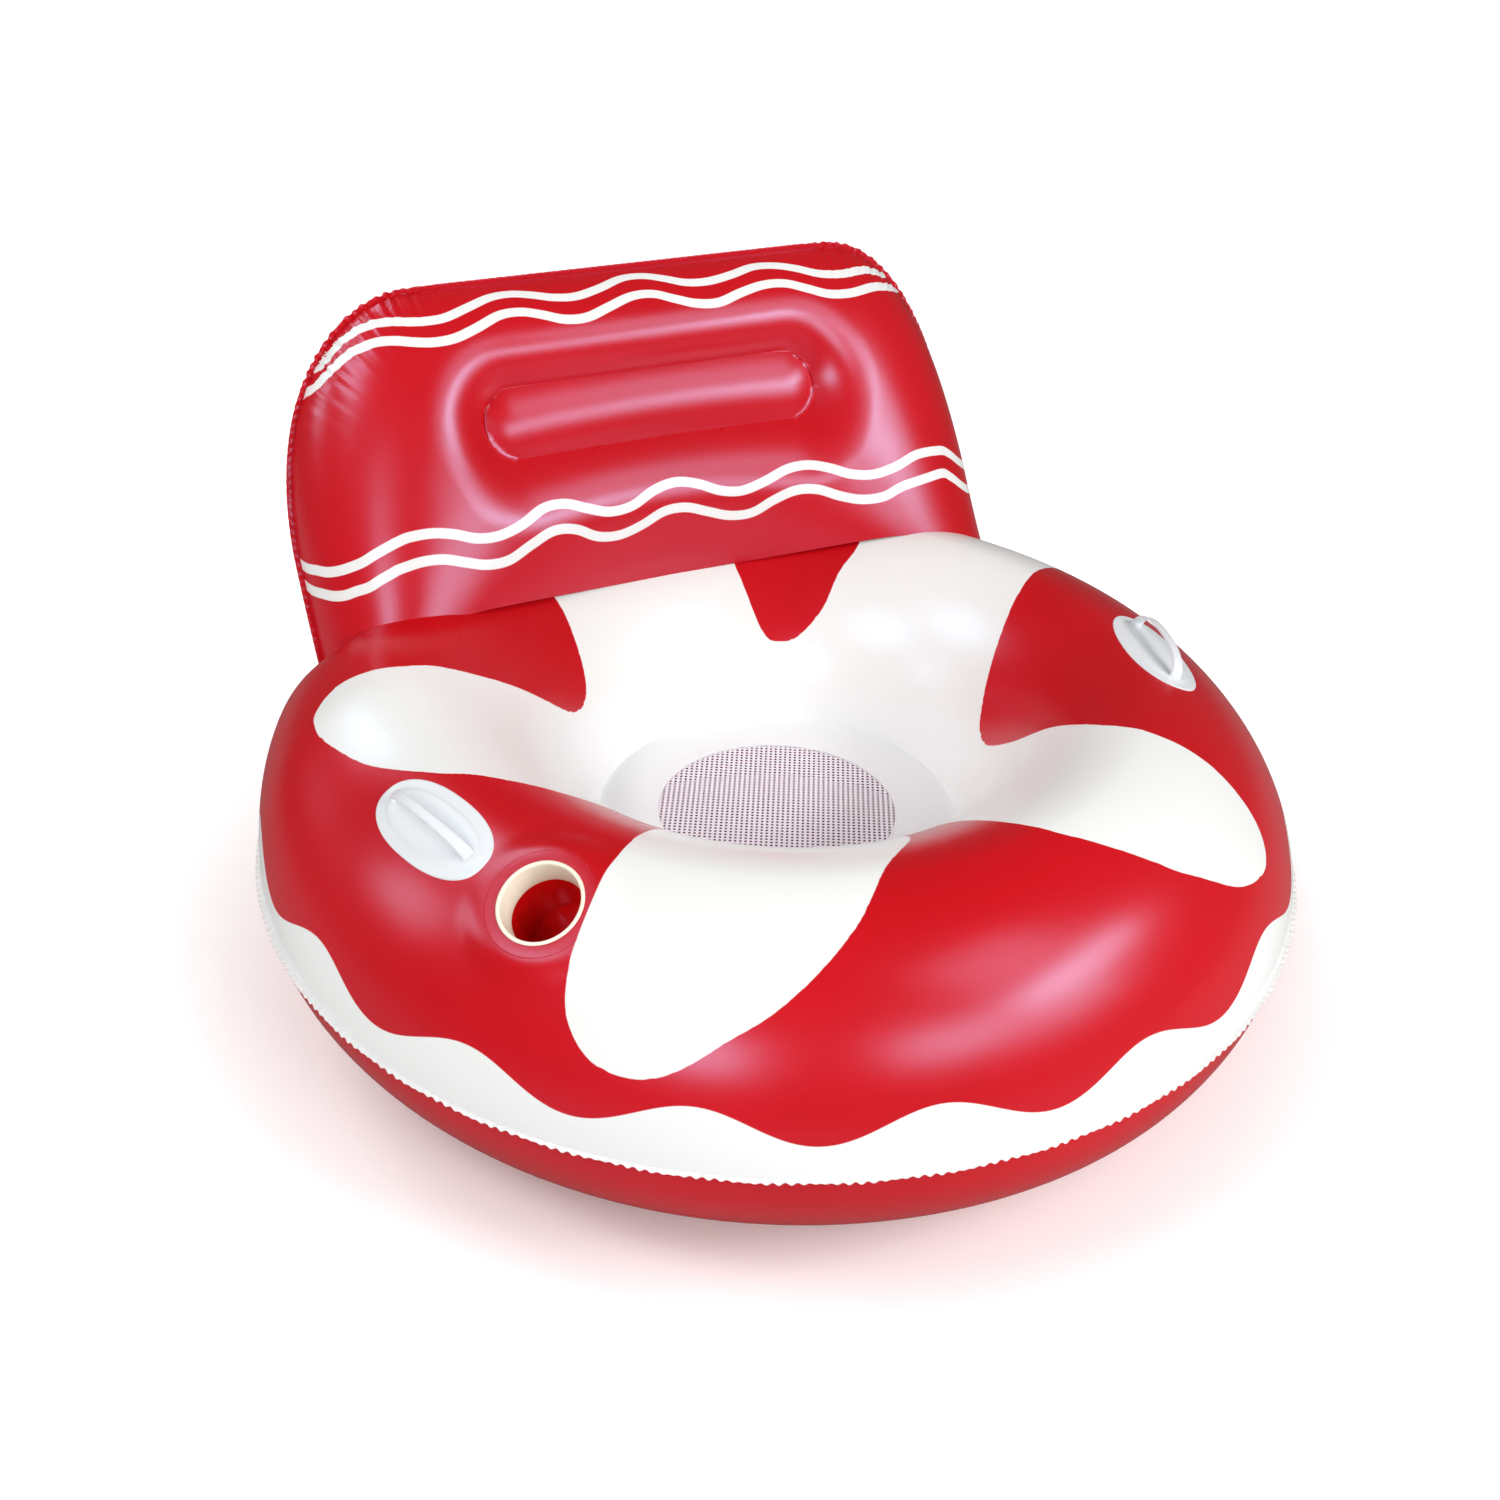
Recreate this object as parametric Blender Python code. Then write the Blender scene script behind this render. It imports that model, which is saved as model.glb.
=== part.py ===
"""Inflatable pool chair: a welded ring with a mesh seat, a cup holder, two grab handles and a backrest.

Metres, +Z up. The chair faces -Y and the backrest stands at +Y. The origin is on the ring's axis,
on the flat band that the chair rests on.
"""

import math

import bmesh
import bpy
from mathutils import Matrix, Vector
from mathutils.bvhtree import BVHTree

# Film and fit
PATCH_REACH = 0.040         # how far a cutter reaches to either side of a sheet
SLOPE_PROBE = 0.001         # half the step over which a slope is measured
FOOT_OVERRUN = 0.012        # how far a sheet runs on before it is cut to its seat
FILM = 0.0004               # gauge of the ring and backrest sheets
SHEET = 0.0006              # gauge of the heavier white seat border
FIT = 0.0003                # gap between two faces that touch on the real chair
WELD_FIN = 0.006            # width of a welded edge that stands out of a seam

# Ring
RING_WIDTH = 1.100          # across the outer weld
SEAT_HOLE = 0.385           # across the inner weld
RING_HEIGHT = 0.344         # from the floor to the crown
OUTER_WELD_HEIGHT = 0.161
INNER_WELD_HEIGHT = 0.167
REST_BAND_CUT = 0.0005      # how much of the belly the rest band takes away
CROWN_FULLNESS = 1.735      # 2 is an ellipse, less is more pointed at the welds
BELLY_FULLNESS = 1.78
AROUND = 64
CROWN_STEPS = 11
BELLY_STEPS = 8

# Seat
NET_WIDTH = 0.257           # visible net inside the white border
NET_LAP = 0.010             # how far the net runs on under the border
NET_GAUGE = 0.0008
NET_PITCH = 0.0200
NET_STRAND = 0.0060
BACKING_LAP = 0.006         # how far the backing ring runs past the net

# Cup holder
CUP_BEARING = -144.4        # degrees from +X, seen from above
CUP_INSET = 0.111           # distance of its mouth in from the outer weld
CUP_MOUTH = 0.073
CUP_COLLAR_WALL = 0.0020
CUP_COLLAR_TAPER = 0.0020   # how much the collar's radius falls over its depth
CUP_COLLAR_DEPTH = 0.025
CUP_LIP = 0.0018            # how far the collar's bead stands proud and wide
CUP_LIP_ROUND = 0.0007      # how much its corners are rounded
CUP_DEPTH = 0.085
CUP_WELD_LAP = 0.012        # width of the flange welded under the crown sheet
CUP_BASE_LAP = 0.004        # width of the weld round the base

# Grab handles
HANDLE_BEARING = 16.0       # degrees in front of the X axis
LEFT_HANDLE_INSET = 0.123   # distances of the two pads in from the outer weld
RIGHT_HANDLE_INSET = 0.146
HANDLE_LENGTH = 0.157
HANDLE_WIDTH = 0.076
HANDLE_FULLNESS = 2.3       # 2 is an ellipse, more is squarer
HANDLE_GAUGE = 0.0012
HANDLE_STEP = 0.0010        # height of the raised field inside the pad's edge
HANDLE_MARGIN = 0.012       # width of the flat edge that is welded down
STRAP_LENGTH = 0.120
STRAP_WIDTH = 0.013
STRAP_RISE = 0.024          # from the pad to the top of the strap
STRAP_GAUGE = 0.0030
STRAP_WAIST = 0.25          # share of the width that the strap loses at its top
STRAP_FULLNESS = 2.4

# Backrest
BACK_HEIGHT = 0.638         # top edge of its weld above the floor
BACK_SIDE_INSET = 0.133     # its side welds end that far in from the ring's width
BACK_CORNER_ACROSS = 0.160  # how far in the rounded top corners start
BACK_CORNER_DOWN = 0.260    # how far down they end
BACK_TOP_INSET = 0.115      # top weld in from the ring's rear
BACK_FOOT_INSET = 0.179     # middle of the foot in from the rear
BACK_END_INSET = 0.272      # ends of the foot in from the rear
BACK_FOOT_THICKNESS = 0.168
BACK_THICKNESS = 0.212
BACK_BELLY_AT = 0.34        # share of the height where the backrest is thickest
BACK_SIDE_FULLNESS = 5.0    # how squarely the faces meet the side welds
BACK_TOP_FULLNESS = 2.2     # and the top weld
BACK_CROWDING = 1.7         # how closely rows and columns gather at the welds
BACK_COLUMNS = 26
BACK_ROWS = 13

# Welded recess in both faces of the backrest
RECESS_LENGTH = 0.400
RECESS_WIDTH = 0.070
RECESS_DROP = 0.133         # its middle below the backrest's top edge
RECESS_DEPTH = 0.034
RECESS_SLOPE = 0.060        # width of the slope round it

# Inflation valves
RING_VALVE_BEARING = 75.0
RING_VALVE_INSET = 0.044    # in from the outer weld
BACK_VALVE_ACROSS = 0.300
BACK_VALVE_HEIGHT = 0.430
VALVE_FLANGE = 0.036
VALVE_FLANGE_GAUGE = 0.0010
VALVE_STEM = 0.0150
VALVE_BORE = 0.0096
VALVE_TRAVEL = 0.012        # how far the stem pulls out of the sheet
VALVE_PROUD = 0.0030        # stem rim above the sheet when it is pushed in
VALVE_RIM = 0.0018
VALVE_LIP = 0.0015          # width and height of the lip inside the sheet
VALVE_CLEARANCE = 0.0004
VALVE_FLANGE_DIP = 0.0012   # how far the flange's edge bends below its middle
CAP_WIDTH = 0.0165
CAP_GAUGE = 0.0020
CAP_EDGE = 0.0006           # bevel of its upper edge
CAP_PLUG_DEPTH = 0.0030
CAP_PLUG_TAPER = 0.0004
TETHER_WIDTH = 0.0040
TETHER_REACH = 0.0025       # from the stem's rim to the tether's bend
TETHER_GAUGE = 0.0010
KNUCKLE = 0.0016            # across the round bend of the tether
KNUCKLE_OVER = 0.00001      # how far the bend stands out at the tether's sides
FLAP_GAUGE = 0.0006
FLAP_LAP = 0.0010           # how far the flap covers the wall round the bore
FLAP_ARC = 240              # degrees of its round edge, the rest is cut off along the hinge

RING_OUT = RING_WIDTH / 2
RING_IN = SEAT_HOLE / 2
TUBE_HALF = (RING_OUT - WELD_FIN - RING_IN) / 2
TUBE_MIDDLE = (RING_OUT - WELD_FIN + RING_IN) / 2
BACK_TOP = BACK_HEIGHT - WELD_FIN
BACK_HALF_WIDTH = RING_OUT - BACK_SIDE_INSET - WELD_FIN
BACK_TOP_SETBACK = RING_OUT - BACK_TOP_INSET
BACK_FOOT_SETBACK = RING_OUT - BACK_FOOT_INSET
BACK_END_SETBACK = RING_OUT - BACK_END_INSET
RECESS_HEIGHT = BACK_HEIGHT - RECESS_DROP


def clear_scene():
    for item in list(bpy.data.objects):
        bpy.data.objects.remove(item, do_unlink=True)


def finish(name, colour, roughness):
    """A plain plastic finish."""
    material = bpy.data.materials.new(name)
    material.use_nodes = True
    shader = material.node_tree.nodes["Principled BSDF"]
    shader.inputs["Base Color"].default_value = (*colour, 1.0)
    shader.inputs["Roughness"].default_value = roughness
    shader.inputs["Metallic"].default_value = 0.0
    return material


def as_object(name, body, material=None):
    """Turn a bmesh into an object, smooth except at real edges."""
    mesh = bpy.data.meshes.new(name)
    body.to_mesh(mesh)
    body.free()
    mesh.shade_smooth()
    mesh.set_sharp_from_angle(angle=math.radians(40))
    item = bpy.data.objects.new(name, mesh)
    bpy.context.collection.objects.link(item)
    if material:
        mesh.materials.append(material)
    return item


def combine(item, tool, operation):
    """Apply one Boolean to an object and take the tool away."""
    change = item.modifiers.new(operation.title(), "BOOLEAN")
    change.operation = operation
    change.solver = "EXACT"
    change.object = tool
    graph = bpy.context.evaluated_depsgraph_get()
    mesh = bpy.data.meshes.new_from_object(item.evaluated_get(graph))
    item.modifiers.clear()
    item.data = mesh
    mesh.name = item.name
    bpy.data.objects.remove(tool, do_unlink=True)
    return item


def revolve(profile):
    """Open surface from (radius, height) points, with the faces up where the radius falls."""
    surface = bmesh.new()
    rings = []
    for radius, height in profile:
        ring = []
        for step in range(AROUND):
            angle = 2 * math.pi * step / AROUND
            place = (radius * math.cos(angle), radius * math.sin(angle), height)
            ring.append(surface.verts.new(place))
        rings.append(ring)
    for outer, inner in zip(rings, rings[1:]):
        for step in range(AROUND):
            after = (step + 1) % AROUND
            surface.faces.new((outer[step], outer[after], inner[after], inner[step]))
    surface.normal_update()
    return surface


def shell(surface, low, high):
    """Closed body between two offsets of an open surface, measured along its normals."""
    surface.normal_update()
    body = bmesh.new()
    under = {}
    over = {}
    for vert in surface.verts:
        step = vert.normal * vert.calc_shell_factor()
        under[vert] = body.verts.new(vert.co + step * low)
        over[vert] = body.verts.new(vert.co + step * high)
    for face in surface.faces:
        body.faces.new([over[vert] for vert in face.verts])
        body.faces.new([under[vert] for vert in reversed(face.verts)])
    for edge in surface.edges:
        if edge.is_boundary:
            corner = edge.link_loops[0]
            start = corner.vert
            end = corner.link_loop_next.vert
            body.faces.new((over[end], over[start], under[start], under[end]))
    return body


def prism(outline, low, high, frame):
    """Straight body on a closed outline in a local frame."""
    body = bmesh.new()
    rings = []
    for level in (low, high):
        rings.append([body.verts.new(frame @ Vector((across, along, level))) for across, along in outline])
    body.faces.new(reversed(rings[0]))
    body.faces.new(rings[1])
    count = len(outline)
    for step in range(count):
        after = (step + 1) % count
        body.faces.new((rings[0][step], rings[0][after], rings[1][after], rings[1][step]))
    return body


def circle(radius, count=32):
    return [(radius * math.cos(2 * math.pi * step / count), radius * math.sin(2 * math.pi * step / count))
            for step in range(count)]


def oval(width, length, fullness, count=40):
    """Superellipse outline: width along the local X axis, length along the local Y axis."""
    points = []
    for step in range(count):
        angle = 2 * math.pi * step / count
        side = math.cos(angle)
        end = math.sin(angle)
        across = math.copysign(abs(side) ** (2 / fullness), side) * width / 2
        along = math.copysign(abs(end) ** (2 / fullness), end) * length / 2
        points.append((across, along))
    return points


def turned_ring(profile, frame, count=32):
    """Ring-shaped body about the local Z axis from a closed loop of (radius, level) points.

    The loop runs up the outside and down the inside.
    """
    body = bmesh.new()
    loops = []
    for radius, level in profile:
        loops.append([body.verts.new(frame @ Vector((x, y, level))) for x, y in circle(radius, count)])
    for first, second in zip(loops, loops[1:] + loops[:1]):
        for step in range(count):
            after = (step + 1) % count
            body.faces.new((first[step], first[after], second[after], second[step]))
    return body


def tube(outer, inner, low, high, frame, count=32):
    """Plain ring-shaped body about the local Z axis."""
    return turned_ring(((outer, low), (outer, high), (inner, high), (inner, low)), frame, count)


def turned(profile, frame, count=32):
    """Solid of revolution about the local Z axis from (radius, level) points, bottom to top."""
    body = bmesh.new()
    loops = []
    for radius, level in profile:
        loops.append([body.verts.new(frame @ Vector((x, y, level))) for x, y in circle(radius, count)])
    body.faces.new(reversed(loops[0]))
    body.faces.new(loops[-1])
    for lower, upper in zip(loops, loops[1:]):
        for step in range(count):
            after = (step + 1) % count
            body.faces.new((lower[step], lower[after], upper[after], upper[step]))
    return body


def box(low, high, frame):
    """Straight box between two corners in a local frame."""
    outline = ((low[0], low[1]), (high[0], low[1]), (high[0], high[1]), (low[0], high[1]))
    return prism(outline, low[2], high[2], frame)


def weld_height(radius):
    """Height of the straight line from the outer weld to the inner weld."""
    share = (RING_OUT - radius) / (RING_OUT - RING_IN)
    return OUTER_WELD_HEIGHT + (INNER_WELD_HEIGHT - OUTER_WELD_HEIGHT) * share


def bulge(radius, rise, fullness):
    """Superellipse over the tube's width, with no rise at the welds."""
    share = min(abs(radius - TUBE_MIDDLE) / TUBE_HALF, 1.0)
    return rise * (1 - share ** fullness) ** (1 / fullness)


CROWN_RISE = RING_HEIGHT - weld_height(TUBE_MIDDLE)
BELLY_DROP = weld_height(TUBE_MIDDLE) + REST_BAND_CUT


def crown_height(radius):
    return weld_height(radius) + bulge(radius, CROWN_RISE, CROWN_FULLNESS)


def section(steps, rise, fullness, sign, outer_gap, inner_gap):
    """Half of the tube's section with its two weld fins, from the outside in."""
    outer = OUTER_WELD_HEIGHT + sign * outer_gap
    inner = INNER_WELD_HEIGHT + sign * inner_gap
    points = [(RING_OUT, outer)]
    for step in range(steps + 1):
        angle = math.pi * step / steps
        side = math.cos(angle)
        radius = TUBE_MIDDLE + TUBE_HALF * math.copysign(abs(side) ** (2 / fullness), side)
        share = step / steps
        base = outer + (inner - outer) * share
        height = base + sign * rise * math.sin(angle) ** (2 / fullness)
        points.append((radius, max(height, 0.0)))
    points.append((RING_IN - WELD_FIN, inner))
    return points


def crown_surface(trim=0):
    """Outer face of the top sheet. The trim leaves out that many points at either weld."""
    points = section(CROWN_STEPS, CROWN_RISE, CROWN_FULLNESS, 1, FIT / 2 + FILM, SHEET / 2 + FIT + FILM)
    return revolve(points[trim:len(points) - trim])


def belly_surface():
    """Outer face of the bottom sheet, with the flat band that the chair rests on."""
    points = section(BELLY_STEPS, BELLY_DROP, BELLY_FULLNESS, -1, FIT / 2 + FILM, SHEET / 2 + FIT + FILM)
    half = rest_band_half_width()
    outside = [point for point in points if point[0] > TUBE_MIDDLE + half]
    inside = [point for point in points if point[0] < TUBE_MIDDLE - half]
    surface = revolve(outside + [(TUBE_MIDDLE + half, 0.0), (TUBE_MIDDLE - half, 0.0)] + inside)
    bmesh.ops.reverse_faces(surface, faces=surface.faces[:])
    surface.normal_update()
    return surface


def rest_band_half_width():
    """Half width of the chord that the rest band cuts from the belly."""
    left = 1 - REST_BAND_CUT / BELLY_DROP
    return TUBE_HALF * (1 - left ** BELLY_FULLNESS) ** (1 / BELLY_FULLNESS)


def stand_on(surface, point, normal, heading):
    """Frame on a surface's facets: Z along the normal, Y as near the heading as it goes."""
    tree = BVHTree.FromBMesh(surface)
    normal = normal.normalized()
    start = point + normal * PATCH_REACH
    place = tree.ray_cast(start, -normal)[0]
    side = heading.cross(normal).normalized()
    along = normal.cross(side)
    frame = Matrix((side, along, normal)).transposed().to_4x4()
    frame.translation = place
    return frame


def ring_frame(bearing, radius, heading):
    """Frame on the crown at a bearing and a distance from the axis."""
    turn = math.radians(bearing)
    outward = Vector((math.cos(turn), math.sin(turn), 0.0))
    outside = crown_height(radius + SLOPE_PROBE)
    slope = (outside - crown_height(radius - SLOPE_PROBE)) / (2 * SLOPE_PROBE)
    normal = Vector((0.0, 0.0, 1.0)) - outward * slope
    point = outward * radius + Vector((0.0, 0.0, crown_height(radius)))
    surface = crown_surface(1)
    frame = stand_on(surface, point, normal, heading)
    surface.free()
    return frame


def crowd(share):
    """Spread of rows and columns, which crowd towards the weld."""
    return 1 - (1 - share) ** BACK_CROWDING


def back_middle(across, up, foot):
    """Middle surface between the backrest's two faces: across runs from -1 to 1, up from 0 to 1."""
    lean = 1 - (1 - up) ** 2
    ends = BACK_END_SETBACK + (BACK_TOP_SETBACK - BACK_END_SETBACK) * lean
    centre = BACK_FOOT_SETBACK + (BACK_TOP_SETBACK - BACK_FOOT_SETBACK) * up
    wrap = 1 - (1 - across * across) ** 2
    height = foot + (BACK_TOP - foot) * up
    below = BACK_TOP - BACK_CORNER_DOWN
    turn = max(height - below, 0.0) / BACK_CORNER_DOWN
    half = BACK_HALF_WIDTH - BACK_CORNER_ACROSS * (1 - math.sqrt(max(1 - turn * turn, 0.0)))
    return Vector((across * half, centre + (ends - centre) * wrap, height))


def back_half_thickness(across, up):
    """Half the distance between the two faces, without the recess."""
    ends = math.sqrt(max(1 - abs(across) ** BACK_SIDE_FULLNESS, 0.0))
    if up < BACK_BELLY_AT:
        foot = BACK_FOOT_THICKNESS / BACK_THICKNESS
        span = BACK_BELLY_AT / math.sqrt(1 - foot * foot)
        rise = math.sqrt(1 - ((BACK_BELLY_AT - up) / span) ** 2)
    else:
        rise = math.sqrt(max(1 - ((up - BACK_BELLY_AT) / (1 - BACK_BELLY_AT)) ** BACK_TOP_FULLNESS, 0.0))
    return BACK_THICKNESS / 2 * ends * rise


def recess_depth(across, height):
    """Depth of the welded recess at a place on the backrest."""
    straight = (RECESS_LENGTH - RECESS_WIDTH) / 2
    beyond = max(abs(across) - straight, 0.0)
    outside = math.hypot(beyond, height - RECESS_HEIGHT) - RECESS_WIDTH / 2
    share = min(max(outside / RECESS_SLOPE, 0.0), 1.0)
    return RECESS_DEPTH * (1 + math.cos(math.pi * share)) / 2


def back_point(across, up, side):
    """Point on the front (side -1) or rear (side 1) face of the backrest."""
    foot = crown_height(BACK_FOOT_SETBACK)
    for _ in range(4):
        base = back_middle(across, 0.0, foot)
        spread = side * back_half_thickness(across, 0.0)
        foot = crown_height(math.hypot(base.x, base.y + spread))
    middle = back_middle(across, up, foot)
    near = back_middle(max(across - 1 / BACK_COLUMNS, -1.0), up, foot)
    far = back_middle(min(across + 1 / BACK_COLUMNS, 1.0), up, foot)
    flank = far - near
    turn = Vector((-flank.y, flank.x, 0.0)).normalized()
    spread = back_half_thickness(across, up) - recess_depth(middle.x, middle.z)
    return middle + turn * side * max(spread, 0.0)


def weld_direction(before, after, across):
    """Direction out of the seam at one point of the outline, square to its run."""
    run = after - before
    out = Vector((run.z, 0.0, -run.x)).normalized()
    return out if out.x * across + out.z > 0 else -out


def back_surface(side):
    """One face of the backrest with its weld fin, from under the crown sheet to the top weld."""
    surface = bmesh.new()
    rows = []
    for row in range(BACK_ROWS + 1):
        line = []
        for column in range(BACK_COLUMNS + 1):
            share = 2 * column / BACK_COLUMNS - 1
            across = math.copysign(crowd(abs(share)), share)
            place = back_point(across, crowd(row / BACK_ROWS), side)
            place.y += side * (FIT / 2 + FILM)
            line.append(place)
        rows.append(line)
    rows.insert(0, [place - Vector((0.0, 0.0, FOOT_OVERRUN)) for place in rows[0]])
    left = [line[0] for line in rows]
    right = [line[-1] for line in rows]
    outline = left + rows[-1][1:-1] + right[::-1]
    fin = []
    for step, place in enumerate(outline):
        before = outline[max(step - 1, 0)]
        after = outline[min(step + 1, len(outline) - 1)]
        fin.append(place + weld_direction(before, after, place.x) * WELD_FIN)
    grid = [[surface.verts.new(place) for place in line] for line in rows]
    edge = [line[0] for line in grid] + grid[-1][1:-1] + [line[-1] for line in grid][::-1]
    rim = [surface.verts.new(place) for place in fin]
    for lower, upper in zip(grid, grid[1:]):
        for column in range(BACK_COLUMNS):
            surface.faces.new((lower[column], lower[column + 1], upper[column + 1], upper[column]))
    for step in range(len(edge) - 1):
        surface.faces.new((edge[step], edge[step + 1], rim[step + 1], rim[step]))
    bmesh.ops.triangulate(surface, faces=surface.faces[:])
    if side > 0:
        bmesh.ops.reverse_faces(surface, faces=surface.faces[:])
    surface.normal_update()
    return surface


def stadium(length, width, count=10):
    """Outline with straight sides and round ends: length along X, width along Y."""
    straight = (length - width) / 2
    points = []
    for end in (1, -1):
        for step in range(count + 1):
            angle = math.pi * (step / count - 0.5)
            across = straight + math.cos(angle) * width / 2
            points.append((end * across, end * math.sin(angle) * width / 2))
    return points


def beyond_recess(surface, side):
    """All that lies outside one recessed face, kept a gap clear of its sheet."""
    area = surface.copy()
    across = RECESS_LENGTH / 2 + RECESS_SLOPE
    up = RECESS_WIDTH / 2 + RECESS_SLOPE
    stray = [vert for vert in area.verts if abs(vert.co.x) > across or abs(vert.co.z - RECESS_HEIGHT) > up]
    bmesh.ops.delete(area, geom=stray, context="VERTS")
    area.normal_update()
    body = bmesh.new()
    near = {}
    far = {}
    for vert in area.verts:
        near[vert] = body.verts.new(vert.co - vert.normal * vert.calc_shell_factor() * (FILM + FIT))
        far[vert] = body.verts.new((vert.co.x, side * RING_WIDTH, vert.co.z))
    for face in area.faces:
        body.faces.new([far[vert] for vert in face.verts])
        body.faces.new([near[vert] for vert in reversed(face.verts)])
    for edge in area.edges:
        if edge.is_boundary:
            start = edge.link_loops[0].vert
            end = edge.link_loops[0].link_loop_next.vert
            body.faces.new((far[end], far[start], near[start], near[end]))
    area.free()
    return body


def tie_web(front, rear, material):
    """Closed band of film that joins the two recesses inside the backrest."""
    facing = Matrix.Rotation(math.radians(90), 4, "X")
    facing.translation = (0.0, BACK_TOP_SETBACK, RECESS_HEIGHT)
    reach = 2 * BACK_THICKNESS
    outline = stadium(RECESS_LENGTH, RECESS_WIDTH)
    inside = stadium(RECESS_LENGTH - 2 * FILM, RECESS_WIDTH - 2 * FILM)
    web = as_object("backrest_tie_web", prism(outline, -reach, reach, facing), material)
    combine(web, as_object("web_bore", prism(inside, -2 * reach, 2 * reach, facing)), "DIFFERENCE")
    combine(web, as_object("in_front", beyond_recess(front, -1)), "DIFFERENCE")
    combine(web, as_object("behind", beyond_recess(rear, 1)), "DIFFERENCE")


def ring_parts(red, plain_red):
    """The two sheets of the air ring."""
    crown = crown_surface()
    top = as_object("ring_top_sheet", shell(crown, -FILM, 0.0), red)
    crown.free()
    belly = belly_surface()
    as_object("ring_bottom_sheet", shell(belly, -FILM, 0.0), plain_red)
    belly.free()
    return top


def seat_parts(white):
    """White border welded into the ring's inner seam, the net under it and its backing ring."""
    level = Matrix.Translation((0.0, 0.0, INNER_WELD_HEIGHT))
    open_radius = NET_WIDTH / 2
    border = tube(RING_IN, open_radius, -SHEET / 2, SHEET / 2, level, AROUND)
    as_object("seat_border", border, white)
    net_top = -SHEET / 2 - FIT
    net_bottom = net_top - NET_GAUGE
    net_radius = open_radius + NET_LAP
    net = as_object("seat_net", prism(circle(net_radius, 48), net_bottom, net_top, level), white)
    combine(net, as_object("net_holes", net_holes(open_radius, net_bottom, net_top, level)), "DIFFERENCE")
    backing_top = net_bottom - FIT
    backing = tube(net_radius + BACKING_LAP, open_radius, backing_top - SHEET, backing_top, level, 48)
    as_object("seat_net_backing", backing, white)


def net_holes(radius, bottom, top, level):
    """Square holes of the net, wherever a whole one fits inside the border."""
    holes = bmesh.new()
    half = (NET_PITCH - NET_STRAND) / 2
    reach = int(radius / NET_PITCH) + 1
    for column in range(-reach, reach + 1):
        for row in range(-reach, reach + 1):
            corner = math.hypot(abs(column) * NET_PITCH + half, abs(row) * NET_PITCH + half)
            if corner < radius - NET_STRAND / 2:
                middle = Vector((column * NET_PITCH, row * NET_PITCH, (bottom + top) / 2))
                scale = Matrix.Diagonal((2 * half, 2 * half, 4 * (top - bottom), 1.0))
                bmesh.ops.create_cube(holes, size=1.0, matrix=level @ Matrix.Translation(middle) @ scale)
    return holes


def crown_patch(name, outline, frame, low, high, material):
    """Piece that lies on the crown sheet, or under it, inside an outline."""
    crown = crown_surface(1)
    patch = as_object(name, shell(crown, low, high), material)
    crown.free()
    return combine(patch, as_object("trim", prism(outline, -PATCH_REACH, PATCH_REACH, frame)), "INTERSECT")


def cup_parts(top, plain_red, cream):
    """Cup well let into the crown, with its moulded collar and its base."""
    frame = ring_frame(CUP_BEARING, RING_OUT - CUP_INSET, Vector((0.0, 1.0, 0.0)))
    mouth = CUP_MOUTH / 2
    throat = mouth - CUP_COLLAR_TAPER
    collar = mouth + CUP_COLLAR_WALL
    well_in = collar + FIT
    well_out = well_in + FILM
    hole = well_out + FIT
    combine(top, as_object("cup_hole", prism(circle(hole), -PATCH_REACH, PATCH_REACH, frame)), "DIFFERENCE")
    lip = collar + CUP_LIP
    bead = FIT + CUP_LIP
    profile = (
        (collar - CUP_COLLAR_TAPER, -CUP_COLLAR_DEPTH),
        (collar, -CUP_COLLAR_DEPTH / 2),
        (collar, FIT),
        (lip, FIT),
        (lip, bead - CUP_LIP_ROUND),
        (lip - CUP_LIP_ROUND, bead),
        (mouth + CUP_LIP_ROUND, bead),
        (mouth, bead - CUP_LIP_ROUND),
        (throat, -CUP_COLLAR_DEPTH),
    )
    as_object("cup_collar", turned_ring(profile, frame), cream)
    sink = -FILM - FIT
    well = crown_patch("cup_well", circle(well_out + CUP_WELD_LAP), frame, sink - FILM, sink, plain_red)
    middle = (well_in + well_out) / 2
    combine(well, as_object("bore", prism(circle(middle), -PATCH_REACH, PATCH_REACH, frame)), "DIFFERENCE")
    combine(well, as_object("wall", tube(well_out, well_in, -CUP_DEPTH, 0.0, frame)), "UNION")
    under = -CUP_DEPTH - FIT
    base = turned(((well_out + CUP_BASE_LAP, under - SHEET), (well_out + CUP_BASE_LAP, under)), frame)
    as_object("cup_base", base, plain_red)


def handle(name, side, inset, white):
    """Moulded handle: a pad welded to the crown, a raised field and a strap across it."""
    bearing = -90 + side * (90 - HANDLE_BEARING)
    turn = math.radians(bearing)
    tangent = Vector((-math.sin(turn), math.cos(turn), 0.0))
    frame = ring_frame(bearing, RING_OUT - inset, tangent)
    outline = oval(HANDLE_WIDTH, HANDLE_LENGTH, HANDLE_FULLNESS)
    edges = 2 * HANDLE_MARGIN
    field = oval(HANDLE_WIDTH - edges, HANDLE_LENGTH - edges, HANDLE_FULLNESS)
    pad = crown_patch(name, outline, frame, FIT, FIT + HANDLE_GAUGE, white)
    low = FIT + HANDLE_GAUGE / 2
    raised = crown_patch("field", field, frame, low, FIT + HANDLE_GAUGE + HANDLE_STEP, white)
    combine(pad, raised, "UNION")
    combine(pad, strap(frame, white), "UNION")


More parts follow.
